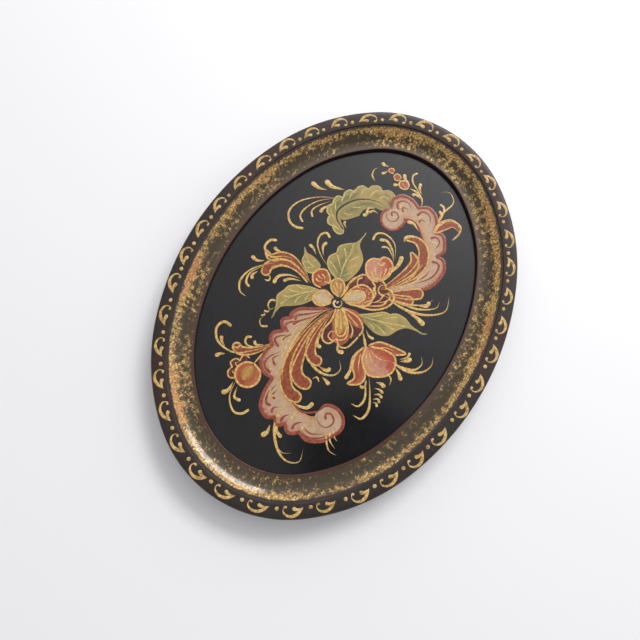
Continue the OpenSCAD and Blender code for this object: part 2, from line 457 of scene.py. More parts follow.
# The gold stops short of the rim's step, the lip's edge and the lip's wall
inside = range_node(tree, inset, 10.8, 11.5, 0.0, 1.0)
lip_side = range_node(tree, inset, 25.6, 25.2, 0.0, 1.0)
above = range_node(tree, height, 0.0110, 0.0116, 0.0, 1.0)
for limit in (inside, lip_side, above):
    gold_here = math_node(tree, "MULTIPLY", gold_here, limit)
gold_tint = ramp_node(tree, flecks, [
    (0.36, (112, 82, 38)), (0.50, (172, 134, 70)), (0.62, (236, 200, 132))])
orange = math_node(tree, "MULTIPLY",
                   range_node(tree, drift, 0.56, 0.68, 0.0, 0.55), outer_gold)
gold_tint = blend_node(tree, orange, gold_tint, colour(178, 108, 62))
tone = blend_node(tree, gold_here, ground, gold_tint)
tree.links.new(tone, shader.inputs["Base Color"])
tree.links.new(range_node(tree, gold_here, 0, 1, 0.0, 0.30), shader.inputs["Metallic"])
tree.links.new(range_node(tree, flecks, 0.3, 0.7, 0.36, 0.60), shader.inputs["Roughness"])
relief = math_node(tree, "ADD", math_node(tree, "MULTIPLY", gold_here, 0.7),
                   math_node(tree, "MULTIPLY", flecks, 0.5))
bump_node(tree, relief, strength=0.45, distance=0.00022, shader=shader)
cove.data.materials.append(cove_gilding)

# The lip, the outside and the foot are plain black-brown paint, rubbed down to the wood where
# the foot stands on the table
foot_paint, tree, shader = new_material(
    "foot_paint", roughness=0.5, coat=0.2, coat_roughness=0.3, specular=0.3)
place = tree.nodes.new("ShaderNodeTexCoord").outputs["Object"]
drawn = noise_node(tree, place, scale=130, detail=5, stretch=(1.0, 1.0, 7.0))
under = ramp_node(tree, drawn, [(0.34, (28, 22, 20)), (0.52, (40, 31, 27)),
                                        (0.70, (56, 38, 30))])
height = tree.nodes.new("ShaderNodeSeparateXYZ")
tree.links.new(place, height.inputs["Vector"])
low_down = range_node(tree, height.outputs["Z"], 0.0011, 0.0001, 0.0, 1.0)
rubbed = math_node(tree, "MULTIPLY", low_down,
                   range_node(tree, noise_node(tree, place, scale=70, detail=6),
                              0.54, 0.66, 0.0, 0.8))
grain = noise_node(tree, place, scale=90, detail=6, stretch=(1.0, 9.0, 9.0))
bare = ramp_node(tree, grain, [(0.35, (112, 78, 48)), (0.65, (172, 132, 88))])
tree.links.new(blend_node(tree, rubbed, under, bare), shader.inputs["Base Color"])
tree.links.new(range_node(tree, drawn, 0.3, 0.7, 0.42, 0.62), shader.inputs["Roughness"])
bump_node(tree, drawn, strength=0.3, distance=0.00012, shader=shader)
cove.data.materials.append(foot_paint)
# The gilding takes the ring's face inside the rim, and the foot's paint takes the rest
gilded_height = land_top - 0.40
gilded_inset = rim_width - 0.2
for face in cove.data.polygons:
    face_inset = inset_of(face.center.x / MM, face.center.y / MM)
    if face.center.z < gilded_height * MM or face_inset < gilded_inset:
        face.material_index = 1
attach(cove, "root")
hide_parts("cove_end_right", "cove_side_back", "cove_end_left", "cove_side_front")

# ---------------------------------------------------------------------------
# Border on the rim: one brush motif, a hooked comma with a drop inside it and a dot before it,
# repeated by hand all round. Gold-ochre paint, a little raised, brushed on over the lacquer.
# ---------------------------------------------------------------------------
def flow(points, steps):
    """A smooth run through points in mm; a point given twice in a row makes a sharp corner."""
    run = []
    ends = [points[0]] + list(points) + [points[-1]]
    for a, b, c, d in zip(ends, ends[1:], ends[2:], ends[3:]):
        if b == c:
            continue
        for i in range(steps):
            t = i / steps
            run.append(tuple(
                0.5 * (2 * q + (r - p) * t + (2 * p - 5 * q + 4 * r - s) * t * t
                       + (3 * q - p - 3 * r + s) * t ** 3)
                for p, q, r, s in zip(a, b, c, d)))
    return run + [tuple(points[-1])]


# A comma is pressed at its head and lifted to a point, and a sweep stays full for longer. A hair
# swells and thins out, a leaf is widest in its middle, and an edge or a pen keeps its width.
def brush_width(kind, way, length, width):
    """A stroke's width a way in mm along its length: how the brush was pressed and lifted."""
    way = min(way, length)
    t = way / length
    if kind in ("comma", "sweep"):
        head = min(width / 2, length / 3)
        if way < head:
            return width * math.sqrt(max(0.0, 1 - (1 - way / head) ** 2))
        if kind == "comma":
            return width * ((length - way) / (length - head)) ** 0.75
        return width * math.cos(math.pi / 2 * (way - head) / (length - head)) ** 0.9
    if kind == "edge":
        return width * min(1.0, (t / 0.35) ** 0.8, ((1 - t) / 0.35) ** 0.8)
    if kind == "hair":
        return width * min(1.0, (t / 0.25) ** 0.6, ((1 - t) / 0.6) ** 0.8)
    if kind == "leaf":
        return width * math.sin(math.pi * t ** 0.8) ** 0.8
    return width * min(1.0, (t / 0.03) ** 0.5, ((1 - t) / 0.03) ** 0.5)


def reach_of(run):
    """How far along a run each of its points lies."""
    reach = [0.0]
    for a, b in zip(run, run[1:]):
        reach.append(reach[-1] + math.dist(a, b))
    return reach


def points_at(run, reach, ways):
    """The points of a run at some ways along it, each way further on than the last."""
    found = []
    at = 0
    for way in ways:
        while at < len(run) - 2 and reach[at + 1] < way:
            at += 1
        share = min(1.0, (way - reach[at]) / max(reach[at + 1] - reach[at], 1e-9))
        found.append(tuple(p + (q - p) * share for p, q in zip(run[at], run[at + 1])))
    return found


def brush_stations(points, width, spacing):
    """Points in mm along a stroke, evenly spaced but closer together at the round head."""
    run = flow(points, steps=8)
    reach = reach_of(run)
    length = reach[-1]
    count = max(6, round(length / spacing))
    ways = [width * share for share in (0.015, 0.06, 0.15, 0.28) if width * share < length / 4]
    ways = sorted([length * i / count for i in range(count + 1)] + ways)
    return [(x, y, way) for (x, y), way in zip(points_at(run, reach, ways), ways)], length


def brush_strokes(name, strokes, level, relief, spacing=1.3):
    """Raised brush strokes as one mesh; each is (kind, width, points), all in mm."""
    bpy.ops.object.select_all(action="DESELECT")
    bpy.ops.curve.primitive_bezier_circle_add()
    profile = bpy.context.object
    profile.data.splines.remove(profile.data.splines[0])
    edge = profile.data.splines.new("POLY")
    bead = [(-0.5, -0.3), (0.5, -0.3), (0.5, 0.15), (0.36, 0.7), (0.0, 1.0), (-0.36, 0.7),
            (-0.5, 0.15)]
    edge.points.add(len(bead) - 1)
    for point, (across, up) in zip(edge.points, bead):
        point.co = (across * MM, up * relief * MM, 0, 1)
    edge.use_cyclic_u = True
    bpy.ops.curve.primitive_bezier_curve_add()
    brush = bpy.context.object
    brush.name = name
    brush.data.splines.remove(brush.data.splines[0])
    finest_hair = 0.04
    for kind, width, points in strokes:
        stations, length = brush_stations(points, width, spacing)
        spline = brush.data.splines.new("POLY")
        spline.points.add(len(stations) - 1)
        for point, (x, y, way) in zip(spline.points, stations):
            point.co = (x * MM, y * MM, level * MM, 1)
            point.radius = max(finest_hair, brush_width(kind, way, length, width))
    brush.data.dimensions = "3D"
    brush.data.twist_mode = "Z_UP"
    brush.data.bevel_mode = "OBJECT"
    brush.data.bevel_object = profile
    brush.data.use_fill_caps = True
    select_only(brush)
    bpy.ops.object.convert(target="MESH")
    faces_outwards(brush, weld=True)
    bpy.ops.object.shade_smooth_by_angle(angle=math.radians(50))
    bpy.data.objects.remove(profile, do_unlink=True)
    return brush


def joined(name, pieces):
    """Several meshes made one."""
    bpy.ops.object.select_all(action="DESELECT")
    for piece in pieces:
        piece.select_set(True)
    bpy.context.view_layer.objects.active = pieces[0]
    bpy.ops.object.join()
    pieces[0].name = name
    return pieces[0]


def paint(name, dark, middle, light, fade=0.0):
    """A brushed paint of three tones, with fade to let it thin out at a stroke's end."""
    material, tree, shader = new_material(
        name, roughness=0.42, coat=0.35, coat_roughness=0.14, specular=0.2)
    place = tree.nodes.new("ShaderNodeTexCoord")
    grain = noise_node(tree, place.outputs["Object"], scale=520, detail=5)
    tones = ramp_node(tree, grain, [(0.34, dark), (0.50, middle), (0.67, light)])
    if fade:
        along = tree.nodes.new("ShaderNodeSeparateXYZ")
        tree.links.new(place.outputs["UV"], along.inputs["Vector"])
        end = range_node(tree, along.outputs["X"], 0.60, 1.0, 0.0, fade)
        tones = blend_node(tree, end, tones, colour(70, 56, 44))
    tree.links.new(tones, shader.inputs["Base Color"])
    tree.links.new(range_node(tree, grain, 0.3, 0.7, 0.34, 0.54), shader.inputs["Roughness"])
    bump_node(tree, grain, strength=0.25, distance=0.00008, shader=shader)
    return material


# One motif laid out straight: x runs back along the rim, y outwards from the rim's inner edge
motif = brush_strokes("motif", [
    ("hair", 2.0, [(0.5, 2.5), (3.5, 5.5), (7, 7.4), (10.5, 7.3), (13, 5.6), (13.6, 3.6),
                   (12.6, 2.2), (11.4, 2.6)]),
    ("comma", 1.6, [(11.2, 2.6), (12.6, 2.0), (13.8, 3.8)]),
    ("comma", 2.4, [(7.4, 2.4), (6.0, 3.4), (3.8, 3.7), (1.2, 2.9)]),
], level=0.0, relief=0.08, spacing=1.0)
bpy.ops.object.select_all(action="DESELECT")
bpy.ops.mesh.primitive_uv_sphere_add(segments=16, ring_count=8, radius=0.5)
dot = bpy.context.object
dot_along, dot_out = 17.6, 3.3
dot_length, dot_width, dot_height = 2.7, 2.5, 0.36
for vertex in dot.data.vertices:
    vertex.co = ((dot_along + dot_length * vertex.co.x) * MM,
                 (dot_out + dot_width * vertex.co.y) * MM, dot_height * vertex.co.z * MM)
bpy.ops.object.shade_smooth()
motif = joined("motif", [motif, dot])

border_inset = 5.0
motif_foot = rim_width - 0.2
motif_count = 37
arc_lengths = [(last - first) * (radius - border_inset)
               for x, y, radius, first, last in OVAL_ARCS]
border_length = sum(arc_lengths)


def border_direction(way):
    """The outward direction after a way in mm round the middle of the rim."""
    way %= border_length
    for (x, y, radius, first, last), length in zip(OVAL_ARCS, arc_lengths):
        if way <= length:
            return first + way / (radius - border_inset)
        way -= length
    return full_turn


hand = random.Random(5)
border_copies = []
for number in range(motif_count):
    one = motif.copy()
    one.data = motif.data.copy()
    bpy.context.collection.objects.link(one)
    start = border_length * (number + hand.uniform(-0.03, 0.03)) / motif_count
    longer = hand.uniform(0.94, 1.06)
    taller = hand.uniform(0.90, 1.06)
    for vertex in one.data.vertices:
        along, out = vertex.co.x / MM * longer, vertex.co.y / MM * taller
        vertex_inset = motif_foot - out
        x, y = oval_point(border_direction(start - along), vertex_inset)
        lift = rim_top - rim_dish * max(0.0, vertex_inset - rim_round) / (rim_width - rim_round)
        vertex.co = (x * MM, y * MM, lift * MM + vertex.co.z)
    border_copies.append(one)
bpy.data.objects.remove(motif, do_unlink=True)
border = joined("rim_border", border_copies)
faces_outwards(border)
border_gold = paint("border_gold", (146, 112, 60), (198, 162, 98), (220, 190, 130))
border.data.materials.append(border_gold)
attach(border, "root")

# ---------------------------------------------------------------------------
# Centre panel: a thin oval board let into the ring from below and held by pins. Its face is
# painted black and flatted, then varnished to a deep gloss over the painting.
# ---------------------------------------------------------------------------
panel_gap = 0.3
panel_edge = rebate_wall + panel_gap
panel_turns = 180
bpy.ops.object.select_all(action="DESELECT")
bpy.ops.mesh.primitive_circle_add(vertices=panel_turns, radius=1, fill_type="NGON")
panel = bpy.context.object
panel.name = "panel"
for number, vertex in enumerate(panel.data.vertices):
    x, y = oval_point(full_turn * number / panel_turns, panel_edge)
    vertex.co = (x * MM, y * MM, panel_bottom * MM)
bpy.ops.object.mode_set(mode="EDIT")
bpy.ops.mesh.select_all(action="SELECT")
bpy.ops.mesh.extrude_region_move(
    TRANSFORM_OT_translate={"value": (0, 0, (panel_top - panel_bottom) * MM)})
bpy.ops.mesh.inset(thickness=0.4 * MM)
bpy.ops.object.mode_set(mode="OBJECT")
faces_outwards(panel)
bpy.ops.object.shade_smooth_by_angle(angle=math.radians(35))

field_varnish, tree, shader = new_material(
    "field_varnish", roughness=0.36, coat=1.0, coat_roughness=0.05, specular=0.15)
place = tree.nodes.new("ShaderNodeTexCoord").outputs["Object"]
clouds = noise_node(tree, place, scale=14, detail=3)
black = ramp_node(tree, clouds, [(0.35, (16, 15, 17)), (0.65, (24, 22, 25))])
brushed = noise_node(tree, place, scale=160, detail=5, stretch=(1.0, 5.0, 1.0))
marks = ramp_node(tree, brushed, [(0.38, (205, 205, 210)), (0.62, (255, 255, 255))])
black = blend_node(tree, 0.6, black, marks, how="MULTIPLY")
dust = noise_node(tree, place, scale=1900, detail=2)
black = blend_node(tree, range_node(tree, dust, 0.70, 0.78, 0.0, 0.25),
                   black, colour(120, 116, 110))
tree.links.new(black, shader.inputs["Base Color"])
tree.links.new(range_node(tree, brushed, 0.3, 0.7, 0.30, 0.46), shader.inputs["Roughness"])
bump_node(tree, brushed, strength=0.10, distance=0.00010, shader=shader, coat_too=True)
panel.data.materials.append(field_varnish)
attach(panel, "root")
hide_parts("centre_panel")

# ---------------------------------------------------------------------------
# Two C-scrolls: the big shell-edged bodies of the painting. A broad brush of pale rose is laid
# first, the edge is drawn in rust red while it is wet, and pale and rust curls shade each lobe.
# ---------------------------------------------------------------------------
def even_steps(points, count):
    """A smooth run through points, cut into equal steps."""
    run = flow(points, steps=10)
    reach = reach_of(run)
    return points_at(run, reach, [reach[-1] * i / count for i in range(count + 1)])


film_thickness = 0.12


def paint_body(name, sections, level, crown=0.05, cells=8, across=8):
    """A filled brush body between an outer and an inner edge, given section by section in mm."""
    outer, inner = [], []
    for outer_points, inner_points in sections:
        outer += even_steps(outer_points, cells)[(1 if outer else 0):]
        inner += even_steps(inner_points, cells)[(1 if inner else 0):]
    along = len(outer) - 1
    bpy.ops.object.select_all(action="DESELECT")
    bpy.ops.mesh.primitive_grid_add(x_subdivisions=along, y_subdivisions=across, size=1)
    body = bpy.context.object
    body.name = name
    area = 0.0
    for a, b, c in zip(outer, outer[1:], inner):
        area += (b[0] - a[0]) * (c[1] - a[1]) - (b[1] - a[1]) * (c[0] - a[0])
    for vertex in body.data.vertices:
        number = round((vertex.co.x + 0.5) * along)
        share = vertex.co.y + 0.5
        x, y = (p + (q - p) * share for p, q in zip(outer[number], inner[number]))
        lift = level + crown * math.sin(math.pi * share)
        vertex.co = (x * MM, y * MM, lift * MM)
    bpy.ops.object.mode_set(mode="EDIT")
    bpy.ops.mesh.select_all(action="SELECT")
    if area < 0:
        bpy.ops.mesh.flip_normals()
    bpy.ops.object.mode_set(mode="OBJECT")
    film = body.modifiers.new("film", "SOLIDIFY")
    film.thickness = film_thickness * MM
    film.offset = -1
    bpy.ops.object.modifier_apply(modifier="film")
    bpy.ops.object.shade_smooth_by_angle(angle=math.radians(50))
    return body


def dish(centre, radius, stretch=1.0, turn=0.0):
    """The two edges of a round or oval spot of paint."""
    c, s = math.cos(math.radians(turn)), math.sin(math.radians(turn))
    halves = []
    for side in (1, -1):
        edge = []
        for i in range(9):
            a = radius * stretch * math.cos(math.pi * i / 8)
            b = radius * math.sin(math.pi * i / 8)
            edge.append((centre[0] + a * c - side * b * s, centre[1] + a * s + side * b * c))
        halves.append(edge)
    return [tuple(halves)]


def shaded_paint(name, stops, streak_scale=140, wash=None):
    """A blended paint: tones across a body, from its outer edge to its inner edge, streaked.
    A wash is a second colour that drifts in and out over the whole of it."""
    material, tree, shader = new_material(
        name, roughness=0.42, coat=0.35, coat_roughness=0.14, specular=0.2)
    place = tree.nodes.new("ShaderNodeTexCoord")
    grain = noise_node(tree, place.outputs["Object"], scale=480, detail=5)
    pull = noise_node(tree, place.outputs["UV"], scale=1.0, detail=4,
                      stretch=(streak_scale, 5.0, 1.0))
    parts = tree.nodes.new("ShaderNodeSeparateXYZ")
    tree.links.new(place.outputs["UV"], parts.inputs["Vector"])
    shift = math_node(tree, "ADD", parts.outputs["Y"],
                      range_node(tree, pull, 0.3, 0.7, -0.13, 0.13))
    tones = ramp_node(tree, shift, stops)
    fleck = ramp_node(tree, grain, [(0.34, (212, 206, 200)), (0.62, (255, 255, 255))])
    tones = blend_node(tree, 0.5, tones, fleck, how="MULTIPLY")
    if wash:
        drifts = noise_node(tree, place.outputs["Object"], scale=75, detail=3)
        tones = blend_node(tree, range_node(tree, drifts, 0.44, 0.66, 0.0, 0.8),
                           tones, colour(*wash))
    tree.links.new(tones, shader.inputs["Base Color"])
    tree.links.new(range_node(tree, grain, 0.3, 0.7, 0.34, 0.54), shader.inputs["Roughness"])
    bump_node(tree, math_node(tree, "ADD", grain, pull), strength=0.22, distance=0.00008, shader=shader)
    return material


# The coats of paint are kept apart by their heights over the field, a later coat higher
field = panel_top
left_scroll_sections = [
    ([(-8, 2), (-15, 13), (-20, 21), (-26, 24), (-28, 22)], [(-7, 1), (-14, 6), (-22, 9)]),
    ([(-28, 22), (-33, 27), (-39, 22)], [(-22, 9), (-34, 11)]),
    ([(-39, 22), (-43, 27), (-48, 27), (-51, 23)], [(-34, 11), (-45, 10)]),
    ([(-51, 23), (-57, 25), (-65, 24), (-70, 18), (-70, 11)], [(-45, 10), (-55, 8), (-63, 5)]),
    ([(-70, 11), (-80, 11), (-90, 8), (-94, 1), (-91, -4)], [(-63, 5), (-71, -1), (-76, -8)]),
    ([(-91, -4), (-95, -8), (-91, -12)], [(-76, -8), (-78, -13)]),
    ([(-91, -12), (-95, -16), (-94, -20), (-91, -23)], [(-78, -13), (-79, -19)]),
    ([(-91, -23), (-93, -30), (-89, -38), (-84, -42)], [(-79, -19), (-78, -25), (-74, -29)]),
    ([(-84, -42), (-81, -44), (-78, -45)], [(-74, -29), (-72, -31)]),
]
left_scroll = paint_body("scroll_left", left_scroll_sections, field + 0.10)
left_curl = paint_body("curl_left", dish((-75, -36), 9.6, 1.02, 70), field + 0.16)
right_scroll_sections = [
    ([(80, 4), (87, 6), (93, 2), (94, -6), (91, -13)], [(76, -6), (79, -10), (79, -14)]),
    ([(91, -13), (95, -19), (93, -26), (87, -31)], [(79, -14), (78, -20), (74, -25)]),
    ([(87, -31), (81, -32), (82, -38), (78, -42), (71, -45), (65, -42)],
     [(74, -25), (70, -29), (66, -34)]),
    ([(65, -42), (65, -48), (59, -52), (51, -52)], [(66, -34), (61, -37), (56, -38)]),
    ([(51, -52), (42, -49), (34, -41), (28, -33), (22, -24)],
     [(56, -38), (45, -35), (33, -29), (22, -23)]),
]
right_scroll = paint_body("scroll_right", right_scroll_sections, field + 0.10)
right_curl = paint_body("curl_right", dish((73, -1), 8.4, 1.0, 0), field + 0.16)
scroll_rose = shaded_paint("scroll_rose", [
    (0.02, (160, 100, 78)), (0.12, (190, 146, 120)), (0.42, (194, 164, 136)),
    (0.75, (196, 164, 130)), (0.98, (194, 142, 98))])
curl_rose = shaded_paint("curl_rose", [
    (0.02, (188, 152, 122)), (0.35, (196, 166, 138)), (0.65, (194, 164, 136)),
    (0.98, (190, 152, 120))], streak_scale=10)
scrolls = joined("scroll_bodies", [left_scroll, right_scroll])
curls = joined("scroll_curls", [left_curl, right_curl])
scrolls.data.materials.append(scroll_rose)
curls.data.materials.append(curl_rose)
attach(scrolls, "root")
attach(curls, "root")

left_outer = [point for outer, inner in left_scroll_sections[:-1] for point in outer]
left_rim = left_outer + [(-75, -46), (-68, -43), (-65, -36), (-67, -29), (-73, -27)]
right_outer = [point for outer, inner in right_scroll_sections for point in outer]
right_rim = [(79, -9), (74, -9.5), (67, -7), (64.5, -1), (67, 5), (73, 7.5), (79, 5.5)]
scroll_edges = brush_strokes("scroll_edges", [
    ("pen", 2.3, left_rim),
    ("comma", 1.7, [(-75, -34), (-72, -32), (-70, -35), (-73, -39), (-78, -38), (-80, -34),
                    (-78, -29), (-73, -27)]),
    ("pen", 1.3, [(-73, -27), (-77, -22), (-79, -16), (-76, -8)]),
    ("pen", 2.4, right_outer[:-2]),
    ("pen", 1.9, right_rim),
    ("comma", 1.6, [(75, 0), (77, 2), (79, 0), (77, -4), (72, -3), (71, 2), (75, 5), (80, 4)]),
    ("pen", 1.3, [(78, -8), (80, -14), (78, -20), (70, -29), (66, -34), (56, -38)]),
    ("comma", 1.9, [(-28, 19), (-25, 20), (-19, 13), (-11, 4)]),
    ("comma", 1.8, [(-32, 19), (-28, 17), (-21, 11), (-14, 6)]),
    ("comma", 2.0, [(-38, 19), (-35, 23), (-31, 21), (-25, 14)]),
    ("comma", 1.9, [(-50, 19), (-47, 24), (-43, 22), (-38, 15)]),
    ("comma", 1.7, [(-45, 19), (-42, 19), (-36, 14)]),
    ("comma", 2.1, [(-68, 14), (-66, 20), (-60, 21), (-52, 16)]),
    ("comma", 1.8, [(-62, 14), (-59, 18), (-54, 15)]),
    ("comma", 2.0, [(-86, 2), (-86, 6), (-80, 8), (-72, 6)]),
    ("comma", 1.7, [(-81, 2), (-80, 5), (-75, 4)]),
    ("comma", 1.8, [(-90, -1), (-87, 0), (-84, -3)]),
    ("comma", 1.9, [(-92, -9), (-88, -9), (-84, -12)]),
    ("comma", 1.9, [(-92, -18), (-88, -18), (-84, -22)]),
    ("hair", 1.3, [(-90, -23), (-91, -30), (-87, -37), (-81, -42)]),
    ("hair", 1.0, [(-87, -24), (-88, -30), (-84, -37)]),
    ("comma", 1.9, [(82, -1), (86, 2), (90, -1), (90, -6), (86, -10)]),
    ("comma", 1.7, [(82, -5), (85, -3), (86, -7)]),
    ("comma", 2.0, [(85, -15), (90, -17), (90, -23), (83, -27)]),
    ("comma", 1.7, [(81, -19), (84, -19), (84, -23)]),
    ("comma", 2.0, [(75, -32), (78, -35), (76, -39), (69, -39)]),
    ("comma", 2.0, [(60, -41), (61, -46), (56, -48), (48, -46), (38, -38)]),
    ("hair", 1.2, [(54, -43), (47, -42), (38, -35), (28, -27)]),
], level=field + 0.20, relief=0.04)
rust_line = paint("rust_line", (128, 60, 44), (146, 74, 56), (164, 92, 72))
scroll_edges.data.materials.append(rust_line)
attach(scroll_edges, "root")

# ---------------------------------------------------------------------------
# Rust commas: long full strokes that sweep out of the flower inside each scroll and up into a
# flame, each edged afterwards with a thin gold line.
# ---------------------------------------------------------------------------
rust_strokes = [
    ("sweep", 7.6, [(-71, -12), (-73, -7), (-70, 0), (-61, 6), (-45, 8), (-26, 7), (-8, 2)]),
    ("sweep", 8.0, [(-60, -13), (-62, -7), (-58, 0), (-47, 4), (-30, 5), (-8, 1)]),
    ("sweep", 6.6, [(-43, -11), (-45, -6), (-41, -1), (-32, 2), (-20, 2), (-7, 0)]),
    ("leaf", 7.4, [(58, -25), (53, -31), (43, -31), (31, -26), (22, -20)]),
    ("leaf", 7.0, [(64, -16), (68, -24), (64, -32), (54, -36), (41, -33), (26, -24)]),
    ("sweep", 7.6, [(36, -47), (31, -41), (26, -33), (21, -24)]),
    ("sweep", 6.6, [(27, -44), (24, -38), (22, -31), (20, -23)]),
    ("sweep", 6.0, [(-12, 54), (-6, 56), (1, 51), (4, 43), (3, 34), (0, 24)]),
    ("hair", 5.6, [(4, 64), (1, 58), (6, 52), (8, 44), (5, 34), (0, 24)]),
    ("sweep", 5.6, [(-63, 45), (-66, 41), (-63, 34), (-57, 28), (-50, 24)]),
    ("leaf", 6.4, [(80, -32), (88, -35), (94, -41), (90, -48)]),
]


def stroke_edge(kind, width, points):
    """The line round a stroke: up one side from its tail, round its head and back."""
    stations, length = brush_stations(points, width, 3.0)
    sides = ([], [])
    for before, here, after in zip(stations[:1] + stations, stations, stations[1:] + stations[-1:]):
        way_x, way_y = after[0] - before[0], after[1] - before[1]
        run_length = math.hypot(way_x, way_y)
        half = brush_width(kind, here[2], length, width) / 2
        shift_x, shift_y = -way_y / run_length * half, way_x / run_length * half
        sides[0].append((here[0] + shift_x, here[1] + shift_y))
        sides[1].append((here[0] - shift_x, here[1] - shift_y))
    return sides[0][::-1] + sides[1][1:]


# Each comma lies a little over the one before it
overlap = 0.012
rust_commas = joined("rust_commas", [
    brush_strokes("rust_comma", [stroke], level=field + 0.10 + overlap * number, relief=0.010)
    for number, stroke in enumerate(rust_strokes[::-1])])
comma_edges = brush_strokes("comma_edges", [("edge", 1.3, stroke_edge(*stroke))
                                            for stroke in rust_strokes],
                            level=field + 0.30, relief=0.04)
gold_line = paint("gold_line", (168, 124, 60), (208, 162, 92), (228, 190, 122))
rust_body = paint("rust_body", (124, 58, 38), (142, 72, 48), (158, 88, 60))
comma_edges.data.materials.append(gold_line)
rust_commas.data.materials.append(rust_body)
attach(comma_edges, "root")
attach(rust_commas, "root")

# ---------------------------------------------------------------------------
# Leaves: four leaves round the flower and a feathered acanthus leaf at the right-hand end.
# Sage green, pulled from a pale edge to a darker rib, with the veins drawn in pale green.
# ---------------------------------------------------------------------------
leaf_sections = {
    "leaf_right": [([(12, 7), (14, 15), (18, 21), (24, 23), (29, 20), (29, 20), (34, 21),
                     (39, 17), (43, 12), (50, 10)],
                    [(12, 7), (15, 3), (21, 1), (27, 0), (34, 1), (38, 4), (43, 9), (50, 10)])],
    "leaf_left": [([(-1, 16), (-3, 24), (-6, 31), (-6, 31), (-10, 36), (-14, 37), (-14, 37),
                    (-20, 39), (-26, 36), (-33, 34)],
                   [(-1, 16), (-8, 16), (-15, 20), (-19, 24), (-22, 28), (-26, 33), (-33, 34)])],
    "leaf_up": [([(12, 24), (7, 27), (6, 31), (8, 34), (8, 34), (11, 38), (16, 39), (21, 42)],
                 [(12, 24), (15, 25), (17, 29), (18, 34), (18, 38), (21, 42)])],
    "leaf_down": [([(-2, -16), (-5, -24), (-7, -33), (-4, -41), (3, -45), (8, -50), (10, -60)],
                   [(-2, -16), (4, -24), (9, -30), (10, -35), (10, -35), (13, -39), (13, -46),
                    (11, -51), (10, -60)])],
}
acanthus_sections = [
    ([(47, 25), (44, 24), (42, 27), (43, 31), (45, 33)], [(47, 25), (47, 27), (49, 30)]),
    ([(45, 33), (45, 37), (48, 39), (51, 39)], [(49, 30), (52, 33)]),
    ([(51, 39), (52, 42), (56, 44), (60, 42)], [(52, 33), (56, 35)]),
    ([(60, 42), (63, 43), (67, 42), (68, 38)], [(56, 35), (61, 35)]),
    ([(68, 38), (72, 39), (76, 37), (76, 33)], [(61, 35), (67, 32)]),
    ([(76, 33), (81, 33), (84, 30), (83, 25)], [(67, 32), (72, 28)]),
    ([(83, 25), (87, 25), (90, 20), (88, 16)], [(72, 28), (76, 22)]),
    ([(88, 16), (91, 12), (90, 7), (85, 4), (80, 3)], [(76, 22), (79, 14), (79, 4)]),
]
under_sections = [
    ([(47, 24), (49, 29), (52, 33)], [(47, 24), (49, 27), (53, 32)]),
    ([(52, 33), (56, 35), (61, 35), (67, 32)], [(53, 32), (53, 29), (57, 25), (62, 21)]),
    ([(67, 32), (73, 27), (76, 22)], [(62, 21), (69, 20), (74, 14)]),
    ([(76, 22), (79, 14), (79, 4)], [(74, 14), (75, 8), (79, 3)]),
]
leaves = [paint_body(name, sections, field + 0.10, cells=26)
          for name, sections in leaf_sections.items()]
leaves.append(paint_body("acanthus_outer", acanthus_sections, field + 0.12))
leaves.append(paint_body("acanthus_inner", under_sections, field + 0.12))
leaves = joined("leaf_bodies", leaves)
leaf_green = shaded_paint("leaf_green", [
    (0.02, (168, 150, 92)), (0.22, (150, 138, 86)), (0.48, (118, 114, 72)),
    (0.54, (122, 118, 74)), (0.80, (148, 138, 84)), (0.98, (172, 152, 92))], streak_scale=70,
    wash=(182, 152, 92))
leaves.data.materials.append(leaf_green)
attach(leaves, "root")


def leaf_edge(name, side):
    """One of a leaf's two edges, from its stalk to its tip."""
    return leaf_sections[name][0][side]


